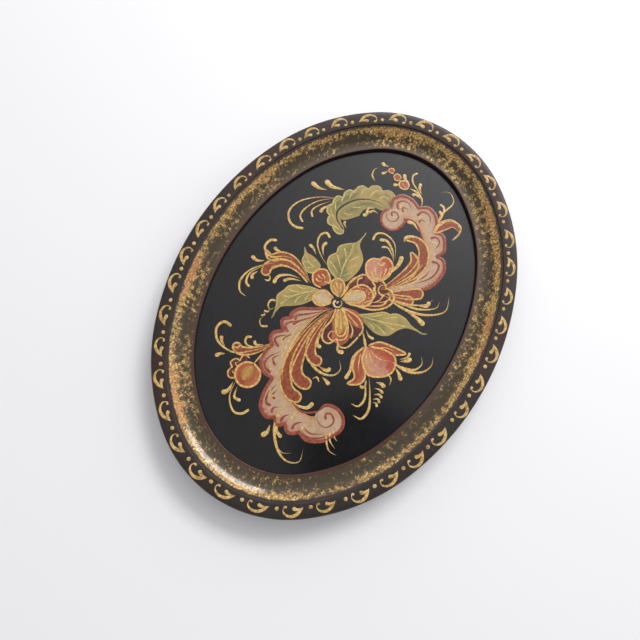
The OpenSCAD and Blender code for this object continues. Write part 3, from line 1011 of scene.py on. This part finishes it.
veins = brush_strokes("leaf_veins", [
    ("hair", 1.1, [(13, 8), (24, 11), (36, 11), (50, 10)]),
    ("comma", 1.2, [(21, 21), (19, 16), (15, 9)]),
    ("comma", 1.2, [(28, 19), (24, 15), (18, 9)]),
    ("comma", 1.2, [(35, 17), (30, 13), (23, 10)]),
    ("comma", 1.1, [(41, 13), (36, 12), (30, 11)]),
    ("comma", 1.1, [(22, 3), (19, 6), (15, 8)]),
    ("comma", 1.1, [(29, 3), (25, 6), (19, 9)]),
    ("comma", 1.1, [(35, 5), (31, 8), (25, 10)]),
    ("hair", 1.1, [(-2, 17), (-10, 26), (-19, 32), (-33, 34)]),
    ("comma", 1.2, [(-7, 31), (-6, 26), (-4, 20)]),
    ("comma", 1.2, [(-12, 35), (-11, 30), (-7, 23)]),
    ("comma", 1.2, [(-18, 36), (-17, 33), (-12, 28)]),
    ("comma", 1.1, [(-24, 34), (-21, 33), (-16, 30)]),
    ("comma", 1.1, [(-13, 21), (-9, 21), (-4, 19)]),
    ("comma", 1.1, [(-18, 26), (-14, 26), (-8, 23)]),
    ("hair", 1.0, [(12, 25), (12, 32), (16, 38), (21, 42)]),
    ("comma", 1.0, [(8, 32), (10, 30), (12, 27)]),
    ("comma", 1.0, [(11, 37), (12, 34), (12, 30)]),
    ("comma", 1.0, [(16, 30), (14, 31), (12, 28)]),
    ("hair", 1.1, [(-2, -17), (1, -28), (5, -40), (10, -51), (11, -60)]),
    ("comma", 1.1, [(-5, -31), (-3, -26), (-2, -19)]),
    ("comma", 1.1, [(-4, -39), (-2, -33), (-1, -24)]),
    ("comma", 1.1, [(2, -43), (2, -37), (1, -29)]),
    ("comma", 1.1, [(8, -48), (7, -44), (4, -37)]),
    ("comma", 1.1, [(7, -30), (3, -26), (-1, -19)]),
    ("comma", 1.1, [(11, -40), (7, -35), (2, -28)]),
    ("pen", 0.9, leaf_edge("leaf_right", 0) + [(54, 10)]),
    ("pen", 0.9, leaf_edge("leaf_left", 0) + [(-36, 34)]),
    ("pen", 0.8, leaf_edge("leaf_up", 0)),
    ("pen", 0.9, leaf_edge("leaf_down", 1) + [(12, -64)]),
    ("hair", 1.0, [(45, 26), (46, 33), (50, 37)]),
    ("hair", 1.0, [(50, 34), (54, 40), (59, 41)]),
    ("hair", 1.0, [(56, 37), (62, 41), (66, 39)]),
    ("hair", 1.0, [(63, 37), (70, 38), (74, 34)]),
    ("hair", 1.0, [(69, 34), (78, 34), (82, 29)]),
    ("hair", 1.0, [(75, 28), (83, 28), (86, 20)]),
    ("hair", 1.0, [(78, 22), (86, 20), (88, 12)]),
    ("hair", 1.0, [(80, 15), (85, 13), (84, 6)]),
    ("hair", 0.9, [(58, 32), (59, 27), (63, 24)]),
    ("hair", 0.9, [(65, 29), (68, 24), (73, 20)]),
    ("pen", 1.0, [point for outer, inner in acanthus_sections for point in outer]),
], level=field + 0.17, relief=0.05)
pale_green = paint("pale_green", (172, 154, 88), (194, 174, 106), (212, 192, 124), fade=0.4)
veins.data.materials.append(pale_green)
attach(veins, "root")
ribs = brush_strokes("leaf_ribs", [
    ("hair", 1.5, [(47, 25), (51, 33), (58, 36), (68, 32), (75, 25), (79, 15), (79, 3)]),
], level=field + 0.16, relief=0.07)
rib_green = paint("rib_green", (40, 44, 34), (58, 62, 44), (80, 82, 56))
ribs.data.materials.append(rib_green)
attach(ribs, "root")

# ---------------------------------------------------------------------------
# Flowers: the open flower in the middle with its ringed eye, the tulip below it, the pink bud,
# the round buds and the berries. Flat petals of maroon, rust, ochre and cream, shaded wet.
# ---------------------------------------------------------------------------
def petal(name, base, tip, width, level, belly=0.62):
    """A petal from base to tip in mm, widest at belly, with a pointed base and a blunt tip."""
    length = math.dist(base, tip)
    ax, ay = (tip[0] - base[0]) / length, (tip[1] - base[1]) / length
    edges = []
    for side in (1, -1):
        edge = []
        for i in range(11):
            t = i / 10
            if t < belly:
                half = width / 2 * math.sin(math.pi / 2 * t / belly) ** 1.1
            else:
                half = width / 2 * math.cos(math.pi / 2 * (t - belly) / (1 - belly)) ** 0.5
            x = base[0] + ax * length * t - ay * side * half
            y = base[1] + ay * length * t + ax * side * half
            edge.append((x, y))
        edges.append(edge)
    return paint_body(name, [tuple(edges)], level, crown=0.06, cells=20, across=6)


maroon_petals = joined("maroon_petals", [
    paint_body("maroon", [
        ([(3, -2), (12, 0), (20, -2), (25, -5), (27, -12), (28, -18), (26, -24)],
         [(3, -2), (3, -9), (6, -17), (11, -24), (16, -30), (22, -31), (26, -24)])],
        field + 0.11, cells=20),
    petal("maroon", (1, -1), (25, -6), 11, field + 0.12),
    petal("maroon", (4, -3), (27, -17), 15, field + 0.14),
    petal("maroon", (2, -4), (21, -31), 16, field + 0.13),
    petal("maroon", (-4, -2), (-15, -24), 17, field + 0.13),
    petal("maroon", (-5, 0), (-31, -6), 13, field + 0.12),
    paint_body("maroon", dish((-82, 35.5), 3), field + 0.10, crown=0.04),
    paint_body("maroon", dish((-76, 37.5), 3.4), field + 0.10, crown=0.04),
    paint_body("maroon", dish((-70.5, 34.5), 3), field + 0.10, crown=0.04),
])
rust_petals = joined("rust_petals", [
    petal("rust", (-4, -2), (-27, -17), 14, field + 0.15),
    petal("rust", (-3, -3), (-8, -23), 11, field + 0.16),
    petal("rust", (1, -1), (17, -17), 15, field + 0.18),
    paint_body("rust", dish((7.5, 19.5), 6), field + 0.14, crown=0.06),
    paint_body("rust", [([(-18, -31), (-27, -29), (-35, -31), (-41, -36), (-47, -34)],
                         [(-18, -31), (-26, -35), (-32, -39), (-38, -42), (-43, -40), (-47, -34)])],
               field + 0.12, cells=20),
    paint_body("rust", [([(-17, -33), (-11, -37), (-8, -46), (-8, -58)],
                         [(-17, -33), (-16, -42), (-14, -51), (-8, -58)])],
               field + 0.12, cells=20),
    paint_body("rust", dish((-77, 26.5), 8), field + 0.13, crown=0.06),
    paint_body("rust", dish((101, 5), 3.4), field + 0.12, crown=0.06),
    paint_body("rust", dish((104, 12), 2.6), field + 0.12, crown=0.06),
    paint_body("rust", dish((106.5, 18.5), 2.2), field + 0.12, crown=0.06),
])
ochre_petals = joined("ochre_petals", [
    petal("ochre", (1, 2), (13, 10), 11, field + 0.20),
    petal("ochre", (-3, -1), (-21, -12), 10, field + 0.20),
    paint_body("ochre", dish((-76, 27), 4.6, 1.25), field + 0.18, crown=0.06),
])
bud_edges = ([(27, -17), (25, -10), (28, -5), (34, -2), (39, -4), (41, -9)],
             [(27, -17), (33, -20), (39, -20), (43, -18), (45, -14), (44, -10), (41, -9)])
cream_petals = joined("cream_petals", [
    paint_body("cream", [bud_edges], field + 0.18, cells=20),
    paint_body("cream", [
        ([(-18, -32), (-27, -34), (-34, -41), (-33, -48), (-27, -55)],
         [(-18, -32), (-15, -40), (-14, -50), (-20, -56), (-27, -55)])],
        field + 0.18, cells=20),
])
ivory_petals = joined("ivory_petals", [
    petal("ivory", (-3, 3), (-6, 18), 13, field + 0.20, belly=0.55),
    petal("ivory", (1, -1), (13, -13), 10.5, field + 0.23),
])
ivory = shaded_paint("ivory_shade", [
    (0.04, (196, 152, 92)), (0.30, (208, 182, 142)), (0.60, (200, 172, 136)),
    (0.96, (186, 140, 84))], streak_scale=12)
maroon = shaded_paint("maroon_shade", [
    (0.04, (124, 66, 58)), (0.40, (92, 42, 42)), (0.60, (86, 38, 40)), (0.96, (124, 64, 58))],
    streak_scale=12)
rust = shaded_paint("rust_shade", [
    (0.04, (176, 92, 62)), (0.40, (158, 78, 54)), (0.60, (160, 82, 56)), (0.96, (186, 110, 76))],
    streak_scale=12)
ochre = shaded_paint("ochre_shade", [
    (0.04, (164, 112, 58)), (0.40, (190, 146, 80)), (0.60, (184, 136, 74)), (0.96, (154, 102, 54))],
    streak_scale=12)
cream = shaded_paint("cream_shade", [
    (0.04, (204, 136, 104)), (0.30, (200, 146, 122)), (0.55, (190, 124, 104)),
    (0.75, (182, 92, 66)), (0.96, (172, 78, 52))], streak_scale=12)
for petals, material, slot in ((maroon_petals, maroon, "rust_paint"),
                               (rust_petals, rust, "rust_paint"),
                               (ochre_petals, ochre, "gold_paint"),
                               (ivory_petals, ivory, "rose_paint"),
                               (cream_petals, cream, "rose_paint")):
    petals.data.materials.append(material)
    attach(petals, "root")

# The outlines and the fine streaks inside the petals, in gold
flower_lines = brush_strokes("flower_lines", [
    ("pen", 1.2, [(5, 0), (13, 1), (20, -1), (25, -4), (26, -8), (25, -11), (25, -11), (28, -15),
                  (28, -19), (26, -23)]),
    ("pen", 1.3, [(25, -22), (25, -28), (20, -32), (13, -30), (6, -22), (2, -8)]),
    ("comma", 1.5, [(20, -25), (19, -22), (21, -19), (25, -19), (27, -22)]),
    ("comma", 1.2, [(23, -26), (20, -29), (16, -27), (12, -22)]),
    ("comma", 1.5, [(21, -15), (17, -19), (11, -18), (5, -12)]),
    ("comma", 1.4, [(24, -12), (22, -16), (17, -16), (15, -12)]),
    ("comma", 1.4, [(23, -5), (20, -3), (16, -5), (15, -9)]),
    ("comma", 1.3, [(21, -1), (16, 1), (10, 0), (5, -1)]),
    ("comma", 1.4, [(18, -28), (13, -27), (8, -20), (4, -12)]),
    ("comma", 1.2, [(19, -24), (14, -23), (9, -18)]),
    ("pen", 1.2, [(-4, 0), (-14, -2), (-24, -1), (-30, -4), (-30, -9), (-24, -12)]),
    ("hair", 1.1, [(-24, -12), (-27, -10), (-26, -6), (-22, -6), (-21, -9), (-23, -10)]),
    ("pen", 1.2, [(-24, -12), (-28, -16), (-26, -21), (-20, -23), (-15, -24)]),
    ("pen", 1.2, [(-15, -24), (-9, -24), (-4, -18), (-3, -10), (-4, -3)]),
    ("pen", 1.2, [(-5, -2), (-12, -4), (-19, -8), (-22, -12), (-19, -15), (-13, -13),
                  (-7, -8), (-4, -3)]),
    ("comma", 1.5, [(-17, -11), (-12, -8), (-6, -4)]),
    ("comma", 1.2, [(-18, -8), (-13, -6), (-7, -3)]),
    ("comma", 1.2, [(-14, -12), (-10, -9), (-6, -5)]),
    ("pen", 1.0, [(-3, -4), (-8, -10), (-14, -15), (-21, -17), (-25, -13)]),
    ("comma", 1.3, [(-19, -20), (-13, -18), (-8, -11)]),
    ("comma", 1.3, [(-9, -20), (-7, -14), (-4, -6)]),
    ("pen", 1.2, [(2, 2), (3, 8), (8, 12), (13, 10), (13, 5), (8, 1), (2, 1)]),
    ("comma", 1.3, [(10, 9), (7, 6), (4, 3)]),
    ("comma", 1.1, [(11, 6), (8, 4), (4, 2)]),
    ("comma", 1.1, [(7, 10), (5, 7), (3, 4)]),
    ("pen", 1.2, [(-3, 4), (-8, 7), (-11, 12), (-9, 17), (-4, 17), (0, 13), (0, 7), (-2, 4)]),
    ("hair", 0.9, [(-9, 10), (-8, 15), (-4, 15)]),
    ("pen", 1.0, [(2, -2), (8, -3), (13, -7), (14, -12), (10, -14), (5, -11), (2, -5)]),
    ("pen", 1.3, [(1, -1), (9, -2), (16, -5), (19, -10), (17, -17), (10, -19), (5, -16), (2, -9),
                  (1, -3)]),
    ("pen", 1.2, [(1, 16), (1, 22), (6, 26), (11, 25), (14, 20), (11, 15), (7, 13), (6, 17)]),
    ("comma", 1.4, [(5, 23), (4, 20), (6, 18)]),
    ("comma", 1.4, [(10, 21), (9, 18), (7, 17)]),
    ("comma", 1.2, [(8, 23), (7, 21), (7, 18)]),
    ("pen", 1.4, [(26, -16)] + bud_edges[0][1:] + bud_edges[1][::-1]),
    ("comma", 1.5, [(41, -13), (38, -12), (38, -9), (42, -9)]),
    ("comma", 1.2, [(30, -8), (27, -12), (27, -17)]),
    ("comma", 1.4, [(34, -9), (30, -12), (28, -17)]),
    ("comma", 1.3, [(34, -14), (31, -15), (28, -17)]),
    ("comma", 1.3, [(38, -16), (33, -17), (29, -17)]),
    ("comma", 1.2, [(40, -18), (35, -19), (30, -18)]),
    ("pen", 1.3, [(-18, -32), (-27, -34), (-34, -41), (-33, -48), (-27, -55), (-20, -56),
                  (-14, -52), (-14, -43), (-17, -34)]),
    ("pen", 1.2, [(-17, -33), (-11, -38), (-9, -46), (-8, -58), (-13, -52)]),
    ("pen", 1.2, [(-19, -31), (-27, -29), (-35, -31), (-41, -36), (-47, -34), (-43, -41),
                  (-37, -42), (-31, -38)]),
    ("hair", 0.9, [(-20, -35), (-26, -42), (-26, -50)]),
    ("hair", 0.9, [(-19, -36), (-21, -44), (-18, -52)]),
    ("hair", 0.9, [(-21, -34), (-29, -39), (-31, -46)]),
    ("hair", 0.9, [(-17, -37), (-12, -44), (-11, -51)]),
    ("hair", 0.9, [(-24, -31), (-32, -34), (-38, -38)]),
    ("hair", 1.1, [(-27, -55), (-29, -58), (-33, -59)]),
    ("pen", 1.4, [(-68.5, 27), (-71, 20.5), (-77, 18), (-83, 20.5), (-85.5, 26.5), (-83, 32.5),
                  (-77, 35), (-71, 32.5), (-68.5, 27)]),
    ("pen", 1.0, [(-83, 32), (-85, 36), (-82, 39), (-78, 38), (-78, 38), (-76, 41), (-72, 39),
                  (-72, 36), (-72, 36), (-67, 36), (-67, 31)]),
    ("hair", 0.9, [(-80, 33), (-81, 36), (-79, 36)]),
    ("hair", 0.9, [(-76, 34), (-75, 38), (-73, 36)]),
    ("pen", 1.1, [(101, 1), (98, 3), (98, 7), (101, 9), (104, 7), (104, 3), (101, 1)]),
    ("hair", 0.8, [(100, 3), (101, 6), (103, 7)]),
    ("pen", 0.8, [(103, 9), (101, 12), (103, 15), (106, 14), (106, 11), (104, 9)]),
    ("pen", 0.8, [(105, 16), (104, 19), (106, 21), (108, 19), (107, 16)]),
], level=field + 0.27, relief=0.05)
flower_gold = paint("flower_gold", (186, 140, 74), (214, 170, 98), (232, 196, 128))
flower_lines.data.materials.append(flower_gold)
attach(flower_lines, "root")

# Pale dots on the rust band, round the outer end of the petal that points down to the right
band_centre = 8.6
band_length = 8.6
band_width = 6.6
seed_radius = 0.55
seed_dots = []
for turn in range(9):
    angle = math.radians(-96 + 24 * turn)
    along = band_length * math.cos(angle) / math.sqrt(2)
    aside = band_width * math.sin(angle) / math.sqrt(2)
    bpy.ops.object.select_all(action="DESELECT")
    bpy.ops.mesh.primitive_uv_sphere_add(
        segments=10, ring_count=6, radius=seed_radius * MM,
        location=((band_centre + along + aside) * MM, (-band_centre - along + aside) * MM,
                  (field + 0.18) * MM))
    bpy.ops.object.transform_apply(location=True, rotation=True, scale=True)
    bpy.ops.object.shade_smooth()
    seed_dots.append(bpy.context.object)
seeds = joined("petal_dots", seed_dots)
eye = paint_body("flower_eye", dish((-2.3, 0.8), 4.6), field + 0.30, crown=0.1)
seed_cream = paint("seed_cream", (206, 164, 112), (224, 186, 136), (234, 204, 160))
seeds.data.materials.append(seed_cream)
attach(seeds, "root")
eye_dark = paint("eye_dark", (34, 28, 26), (44, 36, 32), (60, 48, 40))
eye.data.materials.append(eye_dark)
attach(eye, "root")
eye_lines = brush_strokes("eye_lines", [
    ("comma", 1.7, [(-1.4, 2.6), (-3.6, 3.0), (-5.3, 1.4), (-5.0, -1.2), (-2.8, -2.4),
                    (-0.4, -1.8), (0.6, 0.4)]),
    ("comma", 1.3, [(-3.0, 0.6), (-1.6, 1.0), (-1.2, -0.4)]),
], level=field + 0.38, relief=0.10, spacing=0.7)
eye_cream = paint("eye_cream", (196, 160, 112), (214, 184, 138), (228, 204, 160))
eye_lines.data.materials.append(eye_cream)
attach(eye_lines, "root")

# ---------------------------------------------------------------------------
# Tendrils and drops: the gold line work laid last on the black, one stroke of a long liner brush
# each. Drops and commas start from a pressed head; tendrils swell and thin out to nothing.
# ---------------------------------------------------------------------------
tendrils = brush_strokes("gold_tendrils", [
    # Above the acanthus leaf
    ("comma", 1.9, [(32, 50), (30, 56), (32, 62), (39, 66), (49, 63), (59, 53), (66, 40)]),
    ("comma", 1.5, [(36, 53), (39, 57), (46, 57), (56, 52), (65, 42)]),
    ("comma", 1.4, [(43, 49), (47, 52), (53, 50), (61, 44)]),
    ("comma", 2.6, [(49, 46), (53, 46), (58, 43)]),
    ("comma", 3.4, [(66, 64), (65, 57), (67, 51)]),
    ("comma", 4.0, [(73, 56), (71, 50), (73, 43), (74, 40)]),
    # Right of the round bud and above the small leaf
    ("comma", 1.8, [(36, 30), (38, 34), (34, 37), (27, 35), (21, 28), (17, 20)]),
    ("comma", 2.4, [(32, 30), (28, 31), (22, 27)]),
    ("comma", 2.2, [(24, 40), (23, 36), (20, 32)]),
    # The flame scroll at the top
    ("comma", 2.0, [(14, 61), (12, 65), (6, 66), (2, 62), (2, 57), (7, 50), (9, 42)]),
    ("comma", 2.4, [(9, 60), (8, 57), (9, 53)]),
    ("comma", 2.8, [(-5, 70), (-6, 65), (-3, 60)]),
    ("hair", 1.4, [(-32, 57), (-31, 63), (-24, 67), (-14, 65), (-5, 58), (0, 52)]),
    ("comma", 1.8, [(-25, 59), (-23, 63), (-16, 64), (-7, 59)]),
    ("comma", 2.4, [(-19, 60), (-17, 62), (-12, 60)]),
    ("comma", 2.6, [(-14, 46), (-8, 46), (-3, 40), (-1, 32)]),
    ("comma", 2.2, [(-9, 41), (-5, 38), (-2, 30)]),
    ("pen", 1.1, [(-1, 26), (2, 36), (1, 47), (-5, 54)]),
    ("hair", 1.2, [(-15, 53), (-14, 50), (-11, 51), (-12, 54)]),
    # Small curls left of the flame scroll
    ("comma", 1.5, [(-42, 33), (-44, 37), (-41, 40), (-38, 39)]),
    ("comma", 1.4, [(-38, 41), (-36, 39), (-35, 41)]),
    ("comma", 1.4, [(-34, 41), (-33, 38), (-31, 39)]),
    ("comma", 1.6, [(-24, 38), (-25, 41), (-29, 41), (-31, 38), (-28, 36)]),
    # Round the left rosebud
    ("comma", 2.0, [(-55, 54), (-55, 60), (-61, 62), (-68, 57), (-70, 48), (-68, 40), (-60, 31),
                    (-52, 24)]),
    ("comma", 2.4, [(-64, 56), (-67, 54), (-69, 50)]),
    ("comma", 2.8, [(-78, 52), (-75, 50), (-73, 47)]),
    ("hair", 1.2, [(-66, 45), (-65, 42), (-62, 43), (-63, 46)]),
    ("comma", 1.7, [(-54, 38), (-56, 41), (-60, 39), (-59, 33), (-52, 25)]),
    ("comma", 2.0, [(-55, 35), (-57, 33), (-54, 28)]),
    ("hair", 1.3, [(-69, 27), (-62, 26), (-51, 24)]),
    ("comma", 1.8, [(-96, 13), (-101, 16), (-102, 22), (-95, 29), (-84, 31)]),
    ("comma", 2.2, [(-94, 21), (-94, 26), (-87, 28)]),
    ("comma", 3.2, [(-96, 35), (-93, 32), (-86, 32)]),
    # The left-hand end
    ("hair", 1.8, [(-87, -4), (-98, -8), (-108, -17), (-111, -26), (-107, -33), (-99, -31)]),
    ("comma", 2.4, [(-100, -15), (-98, -10), (-91, -6)]),
    ("comma", 3.4, [(-106, -3), (-102, -5), (-97, -4)]),
    ("hair", 1.0, [(-94, -7), (-104, -12), (-108, -20), (-105, -26)]),
    ("hair", 1.3, [(-80, -38), (-86, -41), (-91, -46), (-91, -52)]),
    ("hair", 1.3, [(-79, -40), (-85, -43), (-88, -49)]),
    ("hair", 1.2, [(-78, -41), (-82, -45), (-83, -48)]),
    ("comma", 1.6, [(-90, -6), (-84, -6), (-80, -9)]),
    ("comma", 1.6, [(-87, -14), (-82, -14), (-80, -17)]),
    ("comma", 1.5, [(-89, -23), (-86, -24), (-83, -29)]),
    # Inside the left scroll
    ("comma", 2.8, [(-70, -21), (-75, -19), (-77, -12), (-75, -7)]),
    ("hair", 1.8, [(-45, 0), (-49, -8), (-50, -16), (-47, -23), (-41, -25), (-36, -21)]),
    ("comma", 2.8, [(-44, -19), (-47, -17), (-47, -11)]),
    ("comma", 2.8, [(-54, -24), (-53, -21), (-52, -17)]),
    ("hair", 1.3, [(-56, -17), (-54, -14), (-57, -12)]),
    ("comma", 2.6, [(-35, -6), (-35, -3), (-31, -1), (-25, -2)]),
    ("comma", 3.0, [(-30, -21), (-31, -17), (-27, -14)]),
    # Round the tulip
    ("comma", 2.4, [(-45, -31), (-38, -31), (-30, -28), (-22, -29)]),
    ("hair", 1.8, [(-20, -33), (-14, -28), (-10, -24)]),
    ("comma", 2.0, [(-11, -34), (-11, -30), (-8, -26)]),
    ("hair", 1.7, [(-63, -48), (-62, -54), (-54, -55), (-44, -50), (-35, -44)]),
    ("hair", 1.5, [(-57, -43), (-56, -48), (-49, -49), (-40, -44), (-34, -40)]),
    ("comma", 2.2, [(-44, -42), (-43, -45), (-38, -44)]),
    ("comma", 3.0, [(-36, -57), (-35, -54), (-36, -50)]),
    ("comma", 2.0, [(-40, -58), (-39, -55), (-40, -51)]),
    ("comma", 2.0, [(-43, -59), (-42, -56), (-44, -53)]),
    ("comma", 1.9, [(-47, -59), (-45, -57), (-47, -54)]),
    ("comma", 1.7, [(-50, -59), (-48, -57), (-49, -55)]),
    ("hair", 1.8, [(-18, -53), (-18, -60), (-15, -68), (-9, -71), (-4, -68)]),
    ("hair", 1.7, [(-19, -56), (-18, -66), (-13, -74), (-6, -77), (0, -75)]),
    ("comma", 3.0, [(-26, -64), (-23, -61), (-20, -56)]),
    ("comma", 3.0, [(-9, -63), (-12, -61), (-15, -57)]),
    ("comma", 1.8, [(-6, -60), (-10, -60), (-14, -56)]),
    # Below the right scroll
    ("hair", 1.9, [(19, -28), (19, -44), (24, -58), (33, -67), (44, -64)]),
    ("hair", 1.5, [(21, -38), (24, -50), (31, -60), (37, -60)]),
    ("hair", 1.5, [(20, -30), (23, -42), (29, -52), (36, -56)]),
    ("comma", 3.6, [(16, -59), (18, -52), (18, -44)]),
    ("comma", 2.8, [(33, -54), (29, -54), (26, -49)]),
    # The pink bud's tendrils
    ("comma", 1.7, [(51, 3), (57, 3), (60, -3), (57, -12), (47, -18)]),
    ("comma", 2.2, [(54, -1), (56, -6), (52, -13), (45, -18)]),
    ("comma", 3.2, [(52, -21), (45, -22), (37, -20), (29, -17)]),
    ("comma", 1.6, [(50, -5), (52, -9), (49, -14), (46, -17)]),
    # The berries at the right-hand end
    ("hair", 1.6, [(101, 0), (101, -6), (98, -12), (91, -15)]),
    ("comma", 1.6, [(115, 1), (111, 3), (106, 0), (102, -7), (97, -12)]),
    ("comma", 2.4, [(109, -5), (105, -6), (101, -10)]),
    ("comma", 2.4, [(97, -4), (99, -6), (98, -11)]),
    ("comma", 2.8, [(109, 9), (106, 7), (104, 2)]),
    ("comma", 2.4, [(97, 12), (98, 10), (100, 7)]),
    ("comma", 2.6, [(108, 28), (107, 25), (108, 22)]),
    ("comma", 2.2, [(100, 24), (102, 22), (105, 21)]),
    ("hair", 1.1, [(92, 25), (95, 29), (100, 30), (103, 28)]),
    # Past the lower right leaf
    ("hair", 1.3, [(84, -31), (96, -30), (108, -33), (114, -27), (111, -21)]),
    ("comma", 1.7, [(102, -25), (101, -29), (94, -31), (84, -31)]),
    ("comma", 2.2, [(97, -27), (95, -30), (88, -31)]),
    ("pen", 1.3, [(80, -32), (88, -33), (95, -38), (95, -46), (89, -48), (82, -46)]),
    # Inside the right scroll
    ("comma", 2.6, [(77, -11), (78, -16), (75, -22)]),
    ("comma", 2.6, [(64, 19), (66, 17), (71, 18), (73, 13)]),
    ("comma", 2.0, [(68, 16), (71, 14), (71, 10)]),
    ("comma", 1.9, [(53, 27), (51, 27), (49, 24)]),
    ("hair", 1.6, [(62, -17), (66, -16), (70, -22), (69, -30)]),
    # Gold streaks along the scroll bodies
    ("hair", 1.4, [(-76, -6), (-70, 3), (-60, 9), (-46, 12), (-32, 12), (-18, 8), (-8, 3)]),
    ("hair", 1.1, [(-58, 13), (-44, 15), (-30, 15), (-17, 9)]),
    ("hair", 1.2, [(56, -37), (44, -34), (32, -28), (22, -22)]),
    ("hair", 1.1, [(52, -42), (40, -38), (30, -31), (23, -25)]),
    ("comma", 1.5, [(-79, 3), (-81, 7), (-75, 8)]),
    ("comma", 1.4, [(-66, 15), (-63, 18), (-57, 16)]),
    ("comma", 1.3, [(-47, 18), (-44, 20), (-38, 17)]),
    ("comma", 1.3, [(83, -2), (86, -1), (87, -6)]),
    ("comma", 1.3, [(82, -17), (86, -18), (86, -23)]),
    ("comma", 1.3, [(72, -34), (74, -37), (70, -38)]),
], level=field + 0.22, relief=0.05, spacing=1.1)
tendril_gold = paint("tendril_gold", (180, 140, 76), (212, 174, 104), (232, 200, 136), fade=0.35)
tendrils.data.materials.append(tendril_gold)
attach(tendrils, "root")

# ---------------------------------------------------------------------------
# Fixings: beech tongues glued across the ring's joints, and the wire pins driven into the ring
# behind the panel. Both keep their exact shapes from the frame.
# ---------------------------------------------------------------------------
bare_beech, tree, shader = new_material("bare_beech", roughness=0.6, specular=0.4)
place = tree.nodes.new("ShaderNodeTexCoord").outputs["Object"]
growth = noise_node(tree, place, scale=110, detail=6, stretch=(1.0, 10.0, 10.0))
beech = ramp_node(tree, growth, [(0.32, (150, 108, 70)), (0.50, (184, 142, 98)),
                                         (0.70, (206, 168, 124))])
tree.links.new(beech, shader.inputs["Base Color"])
bump_node(tree, growth, strength=0.3, distance=0.0001, shader=shader)
pin_steel, tree, shader = new_material(
    "pin_steel", roughness=0.36, metallic=1.0, specular=0.5)
place = tree.nodes.new("ShaderNodeTexCoord").outputs["Object"]
scratches = noise_node(tree, place, scale=700, detail=5, stretch=(1.0, 1.0, 6.0))
steel = ramp_node(tree, scratches, [(0.34, (96, 90, 84)), (0.52, (150, 148, 146)),
                                            (0.68, (184, 182, 180))])
tree.links.new(steel, shader.inputs["Base Color"])
tree.links.new(range_node(tree, scratches, 0.3, 0.7, 0.26, 0.5), shader.inputs["Roughness"])
for node, material in (("joint_tongues", bare_beech), ("panel_pins", pin_steel)):
    fixing = bpy.data.objects[node]
    fixing.data.materials.clear()
    fixing.data.materials.append(material)
